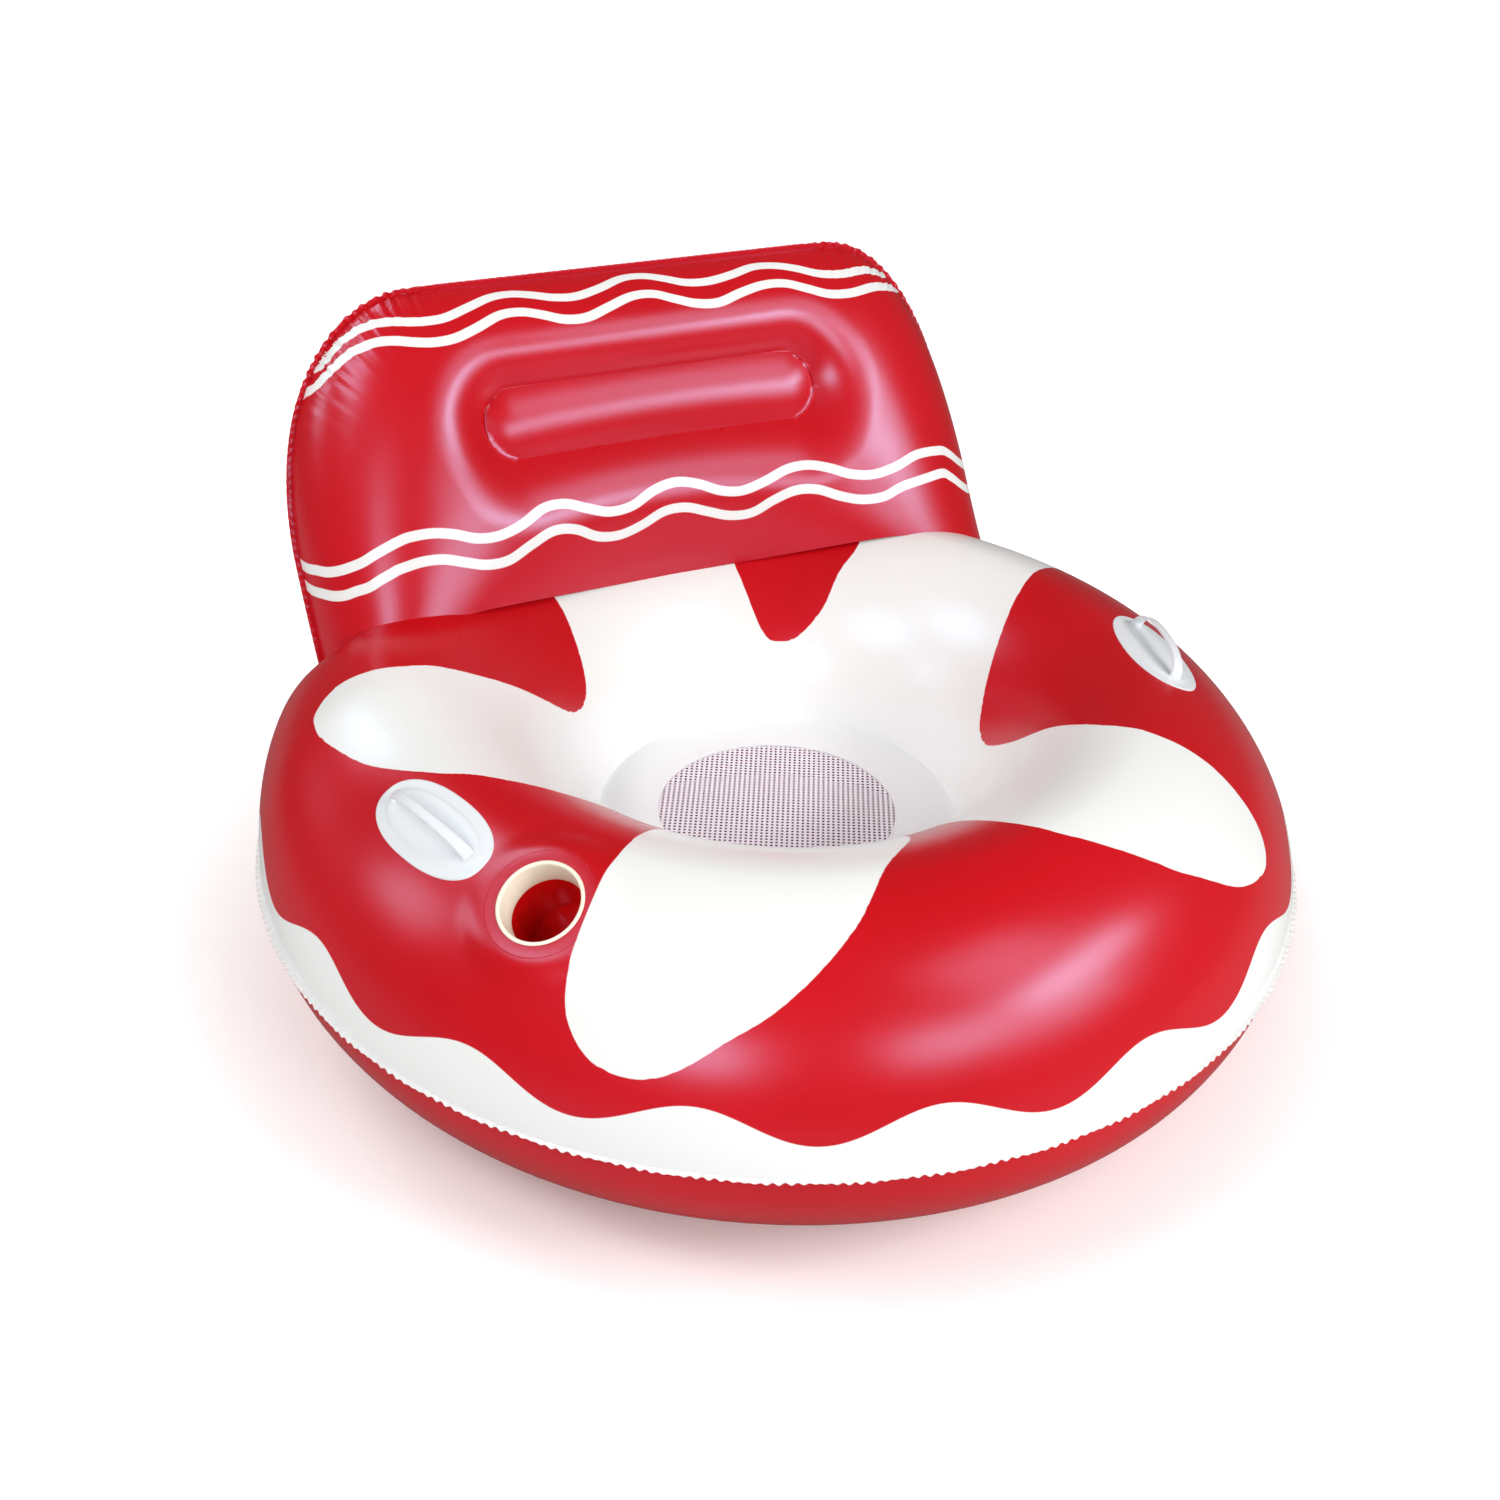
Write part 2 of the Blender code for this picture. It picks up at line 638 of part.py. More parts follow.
def strap(frame, white):
    """Arched strap whose feet stop inside the pad."""
    body = bmesh.new()
    inner = arch(STRAP_LENGTH / 2 - STRAP_GAUGE, STRAP_RISE - STRAP_GAUGE)
    outer = arch(STRAP_LENGTH / 2, STRAP_RISE)
    rows = []
    for near, far in zip(inner, outer):
        line = []
        for across, (along, up) in ((-1, near), (1, near), (1, far), (-1, far)):
            narrow = STRAP_WIDTH / 2 * (1 - STRAP_WAIST * max(up, 0.0) / STRAP_RISE)
            line.append(body.verts.new(frame @ Vector((across * narrow, along, up))))
        rows.append(line)
    body.faces.new(rows[0])
    body.faces.new(reversed(rows[-1]))
    for here, there in zip(rows, rows[1:]):
        for step in range(4):
            after = (step + 1) % 4
            body.faces.new((here[after], here[step], there[step], there[after]))
    band = as_object("strap", body, white)
    crown = crown_surface(1)
    below = as_object("below", shell(crown, -PATCH_REACH, FIT + HANDLE_GAUGE / 2))
    crown.free()
    return combine(band, below, "DIFFERENCE")


def arch(half, rise, count=14):
    """Points over an arch in (along, up), with straight feet below it."""
    points = [(-half, -STRAP_GAUGE * 2)]
    for step in range(count + 1):
        angle = math.pi * step / count
        side = math.cos(angle)
        along = -math.copysign(abs(side) ** (2 / STRAP_FULLNESS), side) * half
        points.append((along, rise * math.sin(angle) ** (2 / STRAP_FULLNESS)))
    points.append((half, -STRAP_GAUGE * 2))
    return points


def backrest_parts(red, plain_red):
    """Two faces of the backrest, cut to the crown they are welded to, and the web between them."""
    front = back_surface(-1)
    rear = back_surface(1)
    back_sheet("backrest_front_sheet", front, red)
    sheet = back_sheet("backrest_rear_sheet", rear, plain_red)
    tie_web(front, rear, plain_red)
    return sheet, rear


def back_sheet(name, surface, material):
    """Film on one face of the backrest, cut to the crown sheet."""
    sheet = as_object(name, shell(surface, -FILM, 0.0), material)
    crown = crown_surface(1)
    cut = as_object("seat_cut", shell(crown, -PATCH_REACH, FIT))
    crown.free()
    return combine(sheet, cut, "DIFFERENCE")


def moving(name, body, frame, material, carrier=None):
    """Object with its mesh about its own axis, placed by a frame and carried by another piece."""
    item = as_object(name, body, material)
    item.matrix_world = frame
    if carrier:
        item.parent = carrier
        item.matrix_parent_inverse = carrier.matrix_basis.inverted()
    return item


def valve(prefix, sheet, surface, frame, clear):
    """Push-in inflation valve: flange under the sheet, sliding stem, tethered cap and check flap."""
    stem = VALVE_STEM / 2
    bore = VALVE_BORE / 2
    hole = stem + VALVE_CLEARANCE
    cut = 2 * VALVE_TRAVEL
    combine(sheet, as_object("stem_hole", prism(circle(hole, 24), -cut, cut, frame)), "DIFFERENCE")
    sink = -FILM - FIT
    under = sink - VALVE_FLANGE_GAUGE
    flange = as_object(prefix + "_valve_flange", shell(surface, under, sink), clear)
    combine(flange, as_object("trim", prism(circle(VALVE_FLANGE / 2, 32), -cut, cut, frame)), "INTERSECT")
    combine(flange, as_object("bore", prism(circle(hole, 24), -2 * cut, 2 * cut, frame)), "DIFFERENCE")

    # The lip stops against the flange when the stem is out.
    lip_top = under - FIT - VALVE_FLANGE_DIP - VALVE_TRAVEL
    foot = lip_top - VALVE_LIP
    rim = stem + VALVE_LIP
    pivot = rim + TETHER_REACH
    body = moving(prefix + "_valve_stem", stem_body(stem, bore, rim, lip_top, foot), frame, clear)
    lug_low = (-pivot - KNUCKLE / 2, -TETHER_WIDTH / 2, VALVE_PROUD - VALVE_RIM)
    lug_high = (-(stem + bore) / 2, TETHER_WIDTH / 2, VALVE_PROUD)
    lug = as_object("lug", box(lug_low, lug_high, Matrix.Identity(4)))
    lug.matrix_world = frame
    combine(body, lug, "UNION")

    bend = frame @ Matrix.Translation((-pivot, 0.0, VALVE_PROUD + FIT + KNUCKLE / 2))
    cap = moving(prefix + "_valve_cap", cap_body(pivot, bore), bend, clear, body)
    for extra in tether_bodies(pivot):
        piece = as_object("tether", extra)
        piece.matrix_world = bend
        combine(cap, piece, "UNION")

    cover = bore + FLAP_LAP
    hinge = frame @ Matrix.Translation((-cover, 0.0, foot - FIT))
    moving(prefix + "_valve_flap", flap_body(cover), hinge, clear, body)


def stem_body(stem, bore, rim, lip_top, foot):
    """Stem with its rim outside the sheet and its lip inside."""
    profile = (
        (rim, foot),
        (rim, lip_top),
        (stem, lip_top),
        (stem, VALVE_PROUD - VALVE_RIM),
        (rim, VALVE_PROUD - VALVE_RIM),
        (rim, VALVE_PROUD),
        (bore, VALVE_PROUD),
        (bore, foot),
    )
    return turned_ring(profile, Matrix.Identity(4), 24)


def cap_body(pivot, bore):
    """Cap disc and its short tapered plug, about the tether's bend."""
    low = -KNUCKLE / 2
    plug = bore - VALVE_CLEARANCE
    profile = (
        (plug - CAP_PLUG_TAPER, low - CAP_PLUG_DEPTH),
        (plug, low),
        (CAP_WIDTH / 2, low),
        (CAP_WIDTH / 2, low + CAP_GAUGE - CAP_EDGE),
        (CAP_WIDTH / 2 - CAP_EDGE, low + CAP_GAUGE),
    )
    return turned(profile, Matrix.Translation((pivot, 0.0, 0.0)), 24)


def tether_bodies(pivot):
    """Strap from the cap to its bend, and the round bend itself."""
    low = -KNUCKLE / 2
    half = TETHER_WIDTH / 2
    end = pivot - CAP_WIDTH / 2 + CAP_GAUGE
    strip = box((0.0, -half, low), (end, half, low + TETHER_GAUGE), Matrix.Identity(4))
    turn = Matrix.Rotation(math.radians(90), 4, "X")
    bend = prism(circle(KNUCKLE / 2, 12), -half - KNUCKLE_OVER, half + KNUCKLE_OVER, turn)
    return strip, bend


def flap_body(cover, count=16):
    """Round check flap, cut off square where its hinge crosses it."""
    ends = cover * math.sin(math.radians(FLAP_ARC / 2))
    outline = [(0.0, -ends)]
    for step in range(count + 1):
        angle = math.radians(FLAP_ARC * (step / count - 0.5))
        outline.append((cover * (1 + math.cos(angle)), cover * math.sin(angle)))
    outline.append((0.0, ends))
    return prism(outline, -FLAP_GAUGE, 0.0, Matrix.Identity(4))


def valves(top, front_rear, clear):
    """One valve for the ring, behind the backrest, and one in the backrest's rear face."""
    crown = crown_surface(1)
    frame = ring_frame(RING_VALVE_BEARING, RING_OUT - RING_VALVE_INSET, Vector((0.0, 0.0, 1.0)))
    valve("ring", top, crown, frame, clear)
    crown.free()
    sheet, surface = front_rear
    tree = BVHTree.FromBMesh(surface)
    start = Vector((BACK_VALVE_ACROSS, RING_OUT, BACK_VALVE_HEIGHT))
    place, normal = tree.ray_cast(start, Vector((0.0, -1.0, 0.0)))[:2]
    frame = stand_on(surface, place, normal, Vector((0.0, 0.0, 1.0)))
    valve("backrest", sheet, surface, frame, clear)


def main():
    clear_scene()
    red = finish("printed_red_film", (0.62, 0.010, 0.022), 0.30)
    plain_red = finish("red_film", (0.55, 0.008, 0.018), 0.32)
    white = finish("white_moulding", (0.86, 0.87, 0.86), 0.35)
    cream = finish("cream_collar", (0.83, 0.76, 0.58), 0.30)
    clear = finish("clear_valve", (0.80, 0.82, 0.83), 0.25)
    top = ring_parts(red, plain_red)
    seat_parts(white)
    cup_parts(top, plain_red, cream)
    handle("grab_handle_left", -1, LEFT_HANDLE_INSET, white)
    handle("grab_handle_right", 1, RIGHT_HANDLE_INSET, white)
    rear = backrest_parts(red, plain_red)
    valves(top, rear, clear)


main()
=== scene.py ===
# %% [markdown]
# # Inflatable pool chair
# The chair is an air ring with a net seat, a backrest, two grab handles, a cup holder and two valves, all of
# welded vinyl film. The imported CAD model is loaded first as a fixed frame. Every piece is then modelled
# where the frame says, and rides on the body of the node that it stands for.

# %% Load the frame
import math

import bpy
import numpy as np
from mathutils import Matrix, Vector
from mathutils.kdtree import KDTree


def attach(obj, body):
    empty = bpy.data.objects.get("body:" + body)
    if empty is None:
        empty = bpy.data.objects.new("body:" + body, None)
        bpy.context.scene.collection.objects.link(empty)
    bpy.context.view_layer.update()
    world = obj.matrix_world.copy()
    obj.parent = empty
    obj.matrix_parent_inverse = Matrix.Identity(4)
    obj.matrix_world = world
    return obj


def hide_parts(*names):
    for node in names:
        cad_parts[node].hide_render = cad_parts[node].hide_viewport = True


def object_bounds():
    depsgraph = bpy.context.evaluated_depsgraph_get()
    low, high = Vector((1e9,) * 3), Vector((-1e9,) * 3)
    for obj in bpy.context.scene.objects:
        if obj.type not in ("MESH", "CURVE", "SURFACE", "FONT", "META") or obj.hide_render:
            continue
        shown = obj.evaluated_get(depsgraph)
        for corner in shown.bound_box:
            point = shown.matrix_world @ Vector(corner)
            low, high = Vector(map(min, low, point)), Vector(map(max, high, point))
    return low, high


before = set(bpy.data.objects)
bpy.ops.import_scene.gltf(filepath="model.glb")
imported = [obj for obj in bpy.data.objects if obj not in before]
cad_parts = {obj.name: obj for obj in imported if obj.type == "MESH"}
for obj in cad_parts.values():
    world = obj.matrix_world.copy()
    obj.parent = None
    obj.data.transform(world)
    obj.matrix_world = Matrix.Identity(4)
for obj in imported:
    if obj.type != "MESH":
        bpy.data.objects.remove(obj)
cad_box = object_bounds()
for corner in cad_box:
    print("CAD corner", [round(value, 4) for value in corner])

# %% [markdown]
# The camera comes first, because it tells how fine each piece has to be. It was fitted to the ring's welds,
# the net and the backrest. It looks down from the front left, 1.95 m from the middle of the chair, and it is
# turned a little on its own axes. Turning a unit frame step by step is the clearest way to write that down.

# %% Camera
CAMERA_DISTANCE = 1.951
CAMERA_AZIMUTH = math.radians(-27.5)
CAMERA_ELEVATION = math.radians(33.77)
CAMERA_PAN = math.radians(-0.94)
CAMERA_TILT = math.radians(-1.73)
CAMERA_ROLL = math.radians(-2.58)
CAMERA_TARGET = Vector((0.0, 0.0, 0.17))
LENS = 43.2
SENSOR = 36.0


def from_the_middle(azimuth, elevation):
    """Unit direction: azimuth 0 is in front of the chair, and 90 degrees is at +X."""
    flat = math.cos(elevation)
    return Vector((math.sin(azimuth) * flat, -math.cos(azimuth) * flat, math.sin(elevation)))


back = from_the_middle(CAMERA_AZIMUTH, CAMERA_ELEVATION)
right = Vector((math.cos(CAMERA_AZIMUTH), math.sin(CAMERA_AZIMUTH), 0.0))
level = Matrix((right, back.cross(right), back))
turned = (
    Matrix.Rotation(CAMERA_ROLL, 3, "Z")
    @ Matrix.Rotation(CAMERA_TILT, 3, "X")
    @ Matrix.Rotation(CAMERA_PAN, 3, "Y")
    @ level
)
bpy.ops.object.camera_add()
camera = bpy.context.object
camera.name = "camera"
camera.matrix_world = Matrix.Translation(CAMERA_TARGET + back * CAMERA_DISTANCE) @ turned.transposed().to_4x4()
camera.data.lens = LENS
camera.data.sensor_width = SENSOR
bpy.context.scene.camera = camera
print("camera at", [round(value, 3) for value in camera.location])

# %% [markdown]
# ## Shapes that all pieces share
# The ring's tube is a superellipse between an outer and an inner weld, and the backrest is a leaning cushion
# whose foot follows the ring. These formulas and sizes are the chair's own design. They are written with
# numpy, so that one call gives the place of every corner of a piece.

# %% Sizes of the ring and its section
RING_OUT = 0.55
RING_IN = 0.1925
WELD_FIN = 0.006
OUTER_WELD_HEIGHT = 0.161
INNER_WELD_HEIGHT = 0.167
RING_HEIGHT = 0.344
CROWN_FULLNESS = 1.735
BELLY_FULLNESS = 1.78
FILM = 0.0004
FIT = 0.0003
TUBE_HALF = (RING_OUT - WELD_FIN - RING_IN) / 2
TUBE_MIDDLE = (RING_OUT - WELD_FIN + RING_IN) / 2


def weld_height(radius):
    share = (RING_OUT - radius) / (RING_OUT - RING_IN)
    return OUTER_WELD_HEIGHT + (INNER_WELD_HEIGHT - OUTER_WELD_HEIGHT) * share


CROWN_RISE = RING_HEIGHT - weld_height(TUBE_MIDDLE)
BELLY_DROP = weld_height(TUBE_MIDDLE)


def crown_height(radius):
    """Height of the ring's upper face at a distance from the axis."""
    share = np.clip(np.abs(np.asarray(radius, float) - TUBE_MIDDLE) / TUBE_HALF, 0.0, 1.0)
    return weld_height(np.asarray(radius, float)) + CROWN_RISE * (1 - share**CROWN_FULLNESS) ** (1 / CROWN_FULLNESS)


def section(steps, rise, fullness):
    """Half of the tube's section from the outer weld to the inner one, as (radius, height) rows."""
    angle = np.linspace(0.0, math.pi, steps + 1)
    side = np.cos(angle)
    radius = TUBE_MIDDLE + TUBE_HALF * np.sign(side) * np.abs(side) ** (2 / fullness)
    height = weld_height(radius) + rise * np.clip(np.sin(angle), 0.0, 1.0) ** (2 / fullness)
    return np.stack((radius, height), axis=1)


print("crown at the tube's middle:", round(float(crown_height(TUBE_MIDDLE)), 4))

# %% Frames that lie on the crown
PROBE = 0.001


def crown_frame(bearing, radius, heading=None):
    """Frame on the crown: Z out of the film, Y along the heading, or else along the ring."""
    turn = math.radians(bearing)
    outward = Vector((math.cos(turn), math.sin(turn), 0.0))
    slope = float(crown_height(radius + PROBE) - crown_height(radius - PROBE)) / (2 * PROBE)
    normal = (Vector((0.0, 0.0, 1.0)) - outward * slope).normalized()
    heading = heading or Vector((-math.sin(turn), math.cos(turn), 0.0))
    side = heading.cross(normal).normalized()
    place = Matrix((side, normal.cross(side), normal)).transposed().to_4x4()
    place.translation = outward * radius + Vector((0.0, 0.0, float(crown_height(radius))))
    return place


CUP_FRAME = crown_frame(-144.4, 0.439, Vector((0.0, 1.0, 0.0)))
LEFT_FRAME = crown_frame(-164.0, 0.427)
RIGHT_FRAME = crown_frame(-16.0, 0.404)
RING_VALVE_FRAME = crown_frame(75.0, 0.506, Vector((0.0, 0.0, 1.0)))
print("cup mouth at", [round(value, 4) for value in CUP_FRAME.translation])


def local_points(place, across, along, level):
    """World points from coordinates in a frame."""
    axes = np.array(place.to_3x3())
    points = np.stack(np.broadcast_arrays(across, along, level), axis=-1) @ axes.T
    return points + np.array(place.translation)


def on_crown(place, across, along, level):
    """World points that stand at a level over the curved crown, above (across, along) of a frame."""
    low = np.full(np.shape(across), -0.06)
    high = np.full(np.shape(across), 0.03)
    for _ in range(40):
        middle = (low + high) / 2
        points = local_points(place, across, along, middle)
        above = points[..., 2] > crown_height(np.hypot(points[..., 0], points[..., 1]))
        high = np.where(above, middle, high)
        low = np.where(above, low, middle)
    return local_points(place, across, along, (low + high) / 2 + level)


# %% Sizes of the backrest and its two faces
BACK_TOP = 0.632
BACK_HALF_WIDTH = 0.411
BACK_CORNER_ACROSS = 0.160
BACK_CORNER_DOWN = 0.260
BACK_TOP_SETBACK = 0.435
BACK_FOOT_SETBACK = 0.371
BACK_END_SETBACK = 0.278
BACK_FOOT_THICKNESS = 0.168
BACK_THICKNESS = 0.212
BACK_BELLY_AT = 0.34
BACK_SIDE_FULLNESS = 5.0
BACK_TOP_FULLNESS = 2.2
RECESS_LENGTH = 0.400
RECESS_WIDTH = 0.070
RECESS_HEIGHT = 0.505
RECESS_DEPTH = 0.034
RECESS_SLOPE = 0.074
RECESS_PILLOW = 0.007


def back_middle(across, up, foot):
    lean = 1 - (1 - up) ** 2
    ends = BACK_END_SETBACK + (BACK_TOP_SETBACK - BACK_END_SETBACK) * lean
    centre = BACK_FOOT_SETBACK + (BACK_TOP_SETBACK - BACK_FOOT_SETBACK) * up
    wrap = 1 - (1 - across**2) ** 2
    height = foot + (BACK_TOP - foot) * up
    turn = np.clip((height - BACK_TOP + BACK_CORNER_DOWN) / BACK_CORNER_DOWN, 0.0, 1.0)
    half = BACK_HALF_WIDTH - BACK_CORNER_ACROSS * (1 - np.sqrt(1 - turn**2))
    return np.stack((across * half, centre + (ends - centre) * wrap, height), axis=-1)


def back_half_thickness(across, up):
    ends = np.sqrt(np.clip(1 - np.abs(across) ** BACK_SIDE_FULLNESS, 0.0, 1.0))
    foot = BACK_FOOT_THICKNESS / BACK_THICKNESS
    span = BACK_BELLY_AT / math.sqrt(1 - foot**2)
    lower = np.sqrt(np.clip(1 - ((BACK_BELLY_AT - up) / span) ** 2, 0.0, 1.0))
    share = np.clip((up - BACK_BELLY_AT) / (1 - BACK_BELLY_AT), 0.0, 1.0)
    upper = np.sqrt(np.clip(1 - share**BACK_TOP_FULLNESS, 0.0, 1.0))
    return BACK_THICKNESS / 2 * ends * np.where(up < BACK_BELLY_AT, lower, upper)


def beyond_pill(across, height):
    """Distance outside the welded outline, and below 0 inside it."""
    beyond = np.clip(np.abs(across) - (RECESS_LENGTH - RECESS_WIDTH) / 2, 0.0, None)
    return np.hypot(beyond, height - RECESS_HEIGHT) - RECESS_WIDTH / 2


def recess_depth(across, height):
    """The film falls ever more steeply to its weld, and swells a little inside it."""
    outside = beyond_pill(across, height)
    slope = RECESS_DEPTH * np.clip(1 - outside / RECESS_SLOPE, 0.0, 1.0) ** 2.1
    inside = np.clip(-outside / (RECESS_WIDTH / 2), 0.0, 1.0)
    return np.where(outside > 0, slope, RECESS_DEPTH - RECESS_PILLOW * inside * (2 - inside))


def back_face(across, up, side, lift=0.0):
    """Places on the front (side -1) or rear (side 1) face, where across runs from -1 to 1 and up from 0 to 1."""
    foot = np.full(np.shape(across), float(crown_height(BACK_FOOT_SETBACK)))
    for _ in range(5):
        base = back_middle(across, np.zeros(np.shape(across)), foot)
        spread = side * back_half_thickness(across, np.zeros(np.shape(across)))
        foot = crown_height(np.hypot(base[..., 0], base[..., 1] + spread))
    middle = back_middle(across, up, foot)
    near = back_middle(np.clip(across - 0.04, -1, 1), up, foot)
    far = back_middle(np.clip(across + 0.04, -1, 1), up, foot)
    flank = far - near
    turn = np.stack((-flank[..., 1], flank[..., 0], np.zeros(np.shape(across))), axis=-1)
    turn /= np.linalg.norm(turn, axis=-1, keepdims=True)
    spread = back_half_thickness(across, up) - recess_depth(middle[..., 0], middle[..., 2])
    return middle + turn * (side * (np.clip(spread, 0.0, None) + lift))[..., None]


print("backrest's foot in the middle:", back_face(np.array([0.0]), np.array([0.0]), -1)[0].round(3))

# %% [markdown]
# ## Two ways to start a piece
# A small turned piece starts as a circle whose corners are moved onto its section. It is spun once round the
# axis and its ends are merged. Spin is slow with hundreds of steps, so a large ring starts as a grid that is
# rolled up twice, once round its section and once round the axis. A curved sheet is a grid whose corners are
# moved onto the formulas above. All end as one closed wall of film, because real film has two sides.

# %% Helpers for modelling


def select_nothing():
    if bpy.context.object and bpy.context.object.mode != "OBJECT":
        bpy.ops.object.mode_set(mode="OBJECT")
    bpy.ops.object.select_all(action="DESELECT")


def corners(piece):
    flat = np.empty(len(piece.data.vertices) * 3)
    piece.data.vertices.foreach_get("co", flat)
    return flat.reshape(-1, 3)


def place_corners(piece, points):
    piece.data.vertices.foreach_set("co", np.ascontiguousarray(points, float).ravel())
    piece.data.update()


def named(name):
    piece = bpy.context.object
    piece.name = piece.data.name = name
    return piece


def smooth(piece, angle=40):
    select_nothing()
    piece.select_set(True)
    bpy.context.view_layer.objects.active = piece
    bpy.ops.object.shade_smooth_by_angle(angle=math.radians(angle))
    return piece


def add_and_apply(piece, kind, **settings):
    """One modifier, set and applied."""
    select_nothing()
    piece.select_set(True)
    bpy.context.view_layer.objects.active = piece
    change = piece.modifiers.new(kind.title(), kind)
    for key, value in settings.items():
        setattr(change, key, value)
    bpy.ops.object.modifier_apply(modifier=change.name)
    return piece


def spin_section(name, loop, steps):
    """Closed loop of (radius, height) points, spun once round the Z axis."""
    select_nothing()
    bpy.ops.mesh.primitive_circle_add(vertices=len(loop), radius=1.0)
    piece = named(name)
    place_corners(piece, [(radius, 0.0, height) for radius, height in loop])
    bpy.ops.object.mode_set(mode="EDIT")
    bpy.ops.mesh.select_all(action="SELECT")
    bpy.ops.mesh.spin(steps=steps, angle=2 * math.pi, center=(0.0, 0.0, 0.0), axis=(0.0, 0.0, 1.0))
    bpy.ops.mesh.select_all(action="SELECT")
    bpy.ops.mesh.remove_doubles(threshold=0.00001)
    bpy.ops.mesh.normals_make_consistent(inside=False)
    bpy.ops.object.mode_set(mode="OBJECT")
    return piece


def rolled_ring(name, loop, steps):
    """The same shape from a grid, which is much quicker for a fine ring."""
    loop = np.asarray(loop, float)
    piece, around, across = grid_piece(name, steps, len(loop))
    turn = 2 * math.pi * (np.rint(around * steps).astype(int) % steps) / steps
    radius, height = loop[np.rint(across * len(loop)).astype(int) % len(loop)].T
    place_corners(piece, np.stack((radius * np.cos(turn), radius * np.sin(turn), height), axis=1))
    return face_outwards(piece)


def wall_loop(points, gauge):
    """Closed loop round a wall: out along the points, and back on their inner side."""
    points = np.asarray(points, float)
    run = np.gradient(points, axis=0)
    run /= np.linalg.norm(run, axis=1, keepdims=True)
    inward = np.stack((-run[:, 1], run[:, 0]), axis=1) * gauge
    return np.concatenate((points, (points + inward)[::-1]))


def grid_piece(name, columns, rows):
    """Flat grid, with each corner's place across it as two arrays from 0 to 1."""
    select_nothing()
    bpy.ops.mesh.primitive_grid_add(x_subdivisions=columns, y_subdivisions=rows, size=2.0)
    piece = named(name)
    flat = corners(piece)
    return piece, (flat[:, 0] + 1) / 2, (flat[:, 1] + 1) / 2


def face_outwards(piece, merge=0.00001):
    select_nothing()
    piece.select_set(True)
    bpy.context.view_layer.objects.active = piece
    bpy.ops.object.mode_set(mode="EDIT")
    bpy.ops.mesh.select_all(action="SELECT")
    bpy.ops.mesh.remove_doubles(threshold=merge)
    bpy.ops.mesh.normals_make_consistent(inside=False)
    bpy.ops.object.mode_set(mode="OBJECT")
    return piece


def close_ends(piece):
    """Open ends of a band get a face each."""
    select_nothing()
    piece.select_set(True)
    bpy.context.view_layer.objects.active = piece
    bpy.ops.object.mode_set(mode="EDIT")
    bpy.ops.mesh.select_all(action="SELECT")
    bpy.ops.mesh.fill_holes(sides=0)
    bpy.ops.mesh.normals_make_consistent(inside=False)
    bpy.ops.object.mode_set(mode="OBJECT")
    return piece


def seat(piece, body, slot, *nodes):
    """The piece rides on a body and stands for its CAD nodes. The slot is not used."""
    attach(piece, body)
    if nodes:
        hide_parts(*nodes)
    triangles = sum(len(face.vertices) - 2 for face in piece.data.polygons)
    print(piece.name, "has", triangles, "triangles")
    return piece


# %% [markdown]
# ## The ring's upper film
# The upper half of the tube is one film, welded to the lower half outside and to the seat border inside. It
# is spun from its section. The hole of the cup holder is then cut with a Boolean, as a die would punch it.

# %% Upper film
AROUND = 560
CROWN_STEPS = 84
BELLY_STEPS = 60
CUP_HOLE = 0.0395
crown = section(CROWN_STEPS, CROWN_RISE, CROWN_FULLNESS)
crown[:, 1] += FIT / 2
top_film = rolled_ring("ring_top_film", wall_loop(crown, -FILM), AROUND)
select_nothing()
bpy.ops.mesh.primitive_cylinder_add(vertices=128, radius=CUP_HOLE, depth=0.08)
punch = named("cup_punch")
punch.data.transform(CUP_FRAME)
add_and_apply(top_film, "BOOLEAN", operation="DIFFERENCE", solver="EXACT", object=punch)
bpy.data.objects.remove(punch)

# %% [markdown]
# ## The print
# The film is printed flat before it is welded: a white swirl with round lobes on red, and a wavy white edge
# like poured icing. A print has one sharp border, so each corner of the mesh stores its signed distance to
# that border, and the material turns the distance into colour. That stays sharp however near the camera is.

